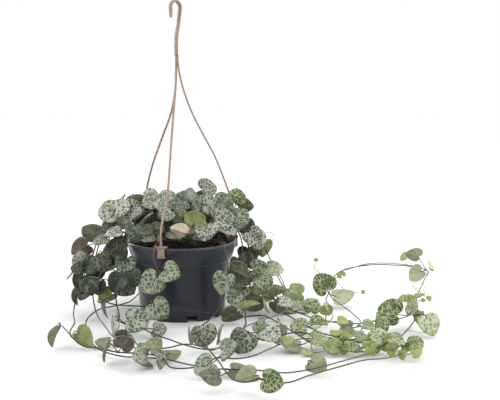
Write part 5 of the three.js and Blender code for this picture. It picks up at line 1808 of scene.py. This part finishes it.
def make_shaped(name, pile, material, node, slot, sharp, **steps):
    """Makes a piece that stands for a node, from plain bodies. Each step is a modifier with
    its settings."""
    body = plain_object(f"{name}_blank", pile)
    for kind, settings in steps.items():
        modifier = body.modifiers.new(kind, kind)
        for key, value in settings.items():
            setattr(modifier, key, value)
    bpy.context.view_layer.update()
    ready = body.evaluated_get(bpy.context.evaluated_depsgraph_get())
    mesh = bpy.data.meshes.new_from_object(ready)
    bpy.data.objects.remove(body)
    mesh.materials.clear()
    mesh.materials.append(material)
    mesh.shade_smooth()
    mesh.set_sharp_from_angle(angle=math.radians(sharp))
    place_piece(bpy.data.objects.new(name, mesh), [node])


def pot_cuts():
    """What is cut from the pot: the notches in its foot and the holes in its floor."""
    cuts = Pile()
    notch = (POT["foot_wall"] * 3, POT["notch_width"], POT["notch_height"] * 2)
    for angle in POT["notch_angles"]:
        cuts.add(*box_at(notch, POT["foot_radius"], 0, angle))
    low, high = -PAST, FLOOR_TOP + PAST
    drain = [(0, low), (POT["drain_radius"], low), (POT["drain_radius"], high), (0, high)]
    hole, faces = revolve(drain, DRAIN_SEGMENTS)
    for i in range(POT["drain_count"]):
        centre = round_point((i + 0.5) * 360 / POT["drain_count"], POT["drain_ring_radius"], 0)
        cuts.add([add(p, centre) for p in hole], faces)
    return cuts


def make_pot():
    """The pot with its rounded corners, notches and drain holes, and the ribs under its floor."""
    section = POT_UNDERSIDE + POT_OUTSIDE + POT_INSIDE + [(0, FLOOR_TOP)]
    pile = Pile()
    pile.add(*revolve(rounded(section, POT_ROUNDING), POT_SEGMENTS))
    cutter = plain_object("pot_cutter", pot_cuts())
    cut = {"operation": "DIFFERENCE", "object": cutter, "solver": "EXACT"}
    make_shaped("pot_shell", pile, POT_PLASTIC, "pot", "pot_plastic", POT_SHARP,
                BOOLEAN=cut, BEVEL=POT_BEVEL)
    bpy.data.objects.remove(cutter)
    ribs = Pile()
    size = (FOOT_INSIDE - POT["hub_radius"] + PAST, POT["rib_width"], POT["foot_height"])
    middle = (FOOT_INSIDE + POT["hub_radius"]) / 2
    for angle in POT["rib_angles"]:
        ribs.add(*box_at(size, middle, POT["foot_height"] / 2 + RIB_RISE, angle))
    ribs.build("pot_ribs", [POT_PLASTIC], ["pot"], "pot_plastic", sharp=POT_SHARP)


# ---------------------------------------------------------------- the hanger

HOOK_SIDE = round_point(HANGER["hook_turn"], -1, 0)
SHANK = [(-4, 0, 282), (-4, 0, 300), (-1.5, 0, 316)]
SHANK_TOP = (0.5, 0, HANGER["top"] - HANGER["hook_radius"] - HANGER["strip_thickness"] / 2)
HOOK_TURNS = range(30, 181, 30)
HOOK_STEPS = 6
# The hook's strip gets narrower and thinner over its last points.
HOOK_TIP = {"points": 5, "shrink": 0.55, "width_power": 3, "thickness_power": 2}
# A strand is this much narrower than in the solids, and widens again at its foot.
STRAND_TRIM = {"narrower": 0.3, "wider": 0.5, "from": 0.97}
# The section of a bar: its points, and the power that makes a circle an oblong.
OBLONG = {"sides": 16, "power": 0.55}
# Half of the outer tab's outline, from its top to its foot: (across, below the rim's top).
TAB_OUTLINE = [
    (1.5, -3.0), (3.6, -2.6), (7.9, -3.2), (7.6, -2.5), (4.4, -0.4), (3.5, 1.4), (3.6, 4.0),
    (4.4, 9.4), (4.0, 10.0),
]
CLIP_TRIM = 1
CLIP_BEVEL = {"width": 0.4 * MM, **BEVEL}
CLIP_SHARP = 35


def hook_route():
    """The line of the shank and the hook, from where the strands join to the hook's end."""
    radius = HANGER["hook_radius"]
    centre = add(SHANK_TOP, scale(HOOK_SIDE, radius))
    points = [*SHANK, SHANK_TOP]
    for turn in HOOK_TURNS:
        angle = math.radians(turn)
        across = scale(HOOK_SIDE, -radius * math.cos(angle))
        points.append(add(add(centre, across), (0, 0, radius * math.sin(angle))))
    points.append(add(points[-1], (0, 0, -HANGER["hook_tip"])))
    return points


def hook_sizes(count):
    """The width and thickness of the hook's strip at each of its points."""
    sizes = []
    for left in range(count - 1, -1, -1):
        near = max(0, 1 - left / HOOK_TIP["points"])
        narrower = 1 - HOOK_TIP["shrink"] * near ** HOOK_TIP["width_power"]
        thinner = 1 - HOOK_TIP["shrink"] * near ** HOOK_TIP["thickness_power"]
        sizes.append((HANGER["strip_width"] * narrower, HANGER["strip_thickness"] * thinner))
    return sizes


def sweep_flat(points, wide, sizes):
    """A bar with a rounded oblong section: wide gives the direction of its broad side."""
    sides, power = OBLONG["sides"], OBLONG["power"]
    made = []
    for point, step, (width, thickness) in zip(points, steps_along(points), sizes):
        broad = unit(sub(wide, scale(step, dot(wide, step))))
        thin = cross(step, broad)
        for k in range(sides):
            angle = 2 * math.pi * k / sides
            c, s = math.cos(angle), math.sin(angle)
            x = math.copysign(abs(c) ** power, c) * width / 2
            y = math.copysign(abs(s) ** power, s) * thickness / 2
            made.append(add(point, add(scale(broad, x), scale(thin, y))))
    return made, tube_faces(len(points), sides)


def plate(outline, radius, thickness, angle):
    """A flat plate that stands across a radius: outline points are (across, height)."""
    outer, side = round_point(angle, 1, 0), round_point(angle + 90, 1, 0)
    points = []
    for reach in (radius - thickness / 2, radius + thickness / 2):
        for across, height in outline:
            points.append(add(add(scale(outer, reach), scale(side, across)), (0, 0, height)))
    count = len(outline)
    faces = [tuple(range(count)), tuple(range(2 * count - 1, count - 1, -1))]
    for k in range(count):
        beside = (k + 1) % count
        faces.append((k, k + count, beside + count, beside))
    return points, faces


def make_strap():
    """The shank with its hook, and the three strands."""
    bars = Pile()
    hook_line = curved(hook_route(), HOOK_STEPS)
    bars.add(*sweep_flat(hook_line, cross(HOOK_SIDE, UP), hook_sizes(len(hook_line))))
    width = HANGER["strand_width"] - STRAND_TRIM["narrower"]
    for angle, route in STRANDS:
        samples = [tuple(p) for p in sample_route(strand_route(angle, route))[0]]
        sizes = []
        for i in range(len(samples)):
            foot = smooth(STRAND_TRIM["from"], 1.0, i / len(samples))
            sizes.append((width + STRAND_TRIM["wider"] * foot, HANGER["strand_thickness"]))
        bars.add(*sweep_flat(samples, round_point(angle + 90, 1, 0), sizes))
    bars.build("hanger_strap", [HANGER_PLASTIC], ["hanger"], "hanger_plastic")


def make_clips():
    """The three clips: an outer tab, a bridge over the rim and an inner lip."""
    clips = Pile()
    t = HANGER["clip_thickness"]
    top = POT["height"] + HANGER["clip_gap"] + t
    half = [(x, POT["height"] - z) for x, z in TAB_OUTLINE]
    outline = half + [(-x, z) for x, z in half[::-1]]
    width = HANGER["tab_width"] - CLIP_TRIM
    bridge = (CLIP_OUTER - CLIP_INNER + t, width, t)
    lip = (t, width, HANGER["inner_tab"] + t)
    for angle, _ in STRANDS:
        clips.add(*plate(outline, CLIP_OUTER, t, angle))
        clips.add(*box_at(bridge, (CLIP_OUTER + CLIP_INNER) / 2, top - t / 2, angle))
        clips.add(*box_at(lip, CLIP_INNER, top - lip[2] / 2, angle))
    make_shaped("hanger_clips", clips, HANGER_PLASTIC, "hanger", "hanger_plastic", CLIP_SHARP,
                BEVEL=CLIP_BEVEL)


# ---------------------------------------------------------------- the soil

SOIL_RINGS = 44
SOIL_SEGMENTS = 120
SOIL_WALL = radius_at(POT_INSIDE, SOIL["level"]) - SOIL["gap"]
SOIL_SHAPE = {"crown_reach": 54, "clod_height": 0.45, "small_clods": 0.5, "below_collar": 3}
CRUMBS = 1500
CRUMB = {
    "seed": 5, "from_wall": 1.5, "least": 0.5, "more": 1.5, "power": 3, "rise": 0.12,
    "rough": 0.5, "sharp": 30,
}
# The colours of the crumbs, each for draws up to its number.
CRUMB_TONES = [
    ((0.010, 0.007, 0.005), 0.66), ((0.03, 0.019, 0.012), 0.86), ((0.16, 0.09, 0.045), 0.95),
    ((0.3, 0.2, 0.12), 1.0),
]


def soil_height(x, y):
    """Height of the soil's top: a low crown, with clods from a few crossing waves."""
    share = min(1.0, math.hypot(x, y) / SOIL_SHAPE["crown_reach"])
    bent_x = math.sin(x * 0.9 + 1.3 * math.sin(y * 0.5))
    bent_y = math.sin(y * 0.8 + 0.7 * math.sin(x * 0.6))
    small = math.sin(x * 2.1 + y * 1.7) * math.sin(y * 2.3 - x * 1.1)
    clods = bent_x * bent_y + SOIL_SHAPE["small_clods"] * small
    return (SOIL["level"] + SOIL["crown_rise"] * (1 - share)
            + SOIL_SHAPE["clod_height"] * clods)


def make_soil_bed(wall):
    """The soil, from its bottom up the pot's wall and in over its uneven top."""
    points = [(0, 0, FLOOR_TOP + SOIL["gap"])]
    for z in (FLOOR_TOP + SOIL["gap"], COLLAR_BOTTOM - SOIL_SHAPE["below_collar"]):
        points += circle(radius_at(POT_INSIDE, z) - SOIL["gap"], z, SOIL_SEGMENTS)
    for i in range(SOIL_RINGS, 0, -1):
        for x, y, _ in circle(wall * i / SOIL_RINGS, 0, SOIL_SEGMENTS):
            points.append((x, y, soil_height(x, y)))
    points.append((0, 0, soil_height(0, 0)))
    bed = Pile()
    bed.add(points, turned_faces(SOIL_RINGS + 2, SOIL_SEGMENTS))
    bed.build("soil_bed", [SOIL_MIX], ["soil"], "growing_mix")


def make_crumbs(wall):
    """Loose crumbs: uneven boxes at drawn places on the soil."""
    draw = Draws(CRUMB["seed"])
    crumbs = Pile()
    for _ in range(CRUMBS):
        x, y, _ = round_point(draw() * 360, (wall - CRUMB["from_wall"]) * math.sqrt(draw()), 0)
        size = CRUMB["least"] + CRUMB["more"] * draw() ** CRUMB["power"]
        pick = draw()
        tone = next(colour for colour, most in CRUMB_TONES if pick <= most)
        stretch = (1 + draw(), 0.6 + 0.5 * draw(), 0.5 + 0.4 * draw())
        corners, faces = box_at(scale(stretch, size), 0, 0, draw() * 180)
        shift = (x, y, soil_height(x, y) + size * CRUMB["rise"])
        rough = []
        for corner in corners:
            away = (draw() - 0.5, draw() - 0.5, draw() - 0.5)
            rough.append(add(add(corner, shift), scale(away, size * CRUMB["rough"])))
        crumbs.add(rough, faces, tone=(*tone, 1))
    crumbs.build("soil_crumbs", [CRUMB_MIX], ["soil"], "growing_mix", sharp=CRUMB["sharp"])


# ---------------------------------------------------------------- stage, light and camera


# Half of the floor's side in metres, and its shade near the plant and beyond the lamps' light.
FLOOR = {
    "reach": 8.0, "shades": ((0.56, 0.56, 0.56), (1.0, 1.0, 1.0)), "from": 0.5, "to": 2.2,
    "roughness": 0.9, "specular": 0.1,
}
# Area lamps: name, place and target in metres, width and height, and power in watts.
PLANT = (0.05, -0.05, 0.08)
FOOT = (0, 0, 0.05)
LAMPS = [
    ("key_left", (-1.1, -0.9, 0.9), PLANT, (0.9, 1.3), 17),
    ("key_right", (1.2, -0.7, 0.8), PLANT, (0.9, 1.3), 13),
    ("top", (0.1, 0.0, 1.6), PLANT, (1.6, 1.6), 12),
    ("rim_left", (-1.0, 0.75, 0.35), FOOT, (0.35, 1.0), 14),
    ("rim_right", (1.1, 0.55, 0.35), FOOT, (0.35, 1.0), 14),
]
LENS = {"sensor": 36, "clip": (0.05, 30)}


def make_stage():
    """A plain floor, a little darker under the lamps, so that it is evenly white."""
    pale = Shader("stage_floor", FLOOR["roughness"], Specular_IOR_Level=FLOOR["specular"])
    place = pale.object_place()
    away = pale.node("ShaderNodeVectorMath", {0: place}, operation="LENGTH").outputs["Value"]
    pale.finish(pale.mix(pale.step(away, FLOOR["from"], FLOOR["to"]), *FLOOR["shades"]))
    mesh = bpy.data.meshes.new("stage_floor")
    low, high = -FLOOR["reach"], FLOOR["reach"]
    corners = [(low, low, 0), (high, low, 0), (high, high, 0), (low, high, 0)]
    mesh.from_pydata(corners, [], [(0, 1, 2, 3)])
    mesh.materials.append(pale.material)
    floor = put_in_scene(bpy.data.objects.new("stage_floor", mesh))


def make_light():
    """An even white world and the lamps."""
    scene = bpy.context.scene
    world = bpy.data.worlds.new("studio")
    world.use_nodes = True
    background = world.node_tree.nodes["Background"].inputs
    background["Color"].default_value = (1, 1, 1, 1)
    background["Strength"].default_value = 1.0
    scene.world = world
    for name, place, target, size, power in LAMPS:
        light = bpy.data.lights.new(name, "AREA")
        light.shape = "RECTANGLE"
        light.size, light.size_y = size
        light.energy = power
        lamp = put_in_scene(bpy.data.objects.new(name, light))
        lamp.location = place
        aim = Vector(target) - Vector(place)
        lamp.rotation_euler = aim.to_track_quat("-Z", "Y").to_euler()
    scene.view_settings.view_transform = "Standard"
    scene.view_settings.look = "None"


def make_camera():
    """The camera that the photograph was taken from, as far as the pot's ellipses tell."""
    view = bpy.data.cameras.new("camera")
    view.sensor_width = LENS["sensor"]
    view.lens = view.sensor_width * CAMERA["focal"] / CAMERA["frame"][0]
    view.clip_start, view.clip_end = LENS["clip"]
    camera = put_in_scene(bpy.data.objects.new("camera", view))
    camera.location = scale(CAMERA["place"], MM)
    camera.rotation_euler = (math.radians(90 - CAMERA["pitch"]), 0, 0)
    bpy.context.scene.camera = camera


# ---------------------------------------------------------------- assembly

LOOKS_SEED = 77
draw_looks = Draws(LOOKS_SEED)
plants_laid, in_place = lay_out()
for each_plant in plants_laid:
    make_plant(each_plant, draw_looks)
make_filling(fill_crown(plants_laid, in_place), draw_looks)
make_shoots(plants_laid, draw_looks)
make_pot()
make_strap()
make_clips()
make_soil_bed(SOIL_WALL)
make_crumbs(SOIL_WALL)
make_stage()
make_light()
make_camera()
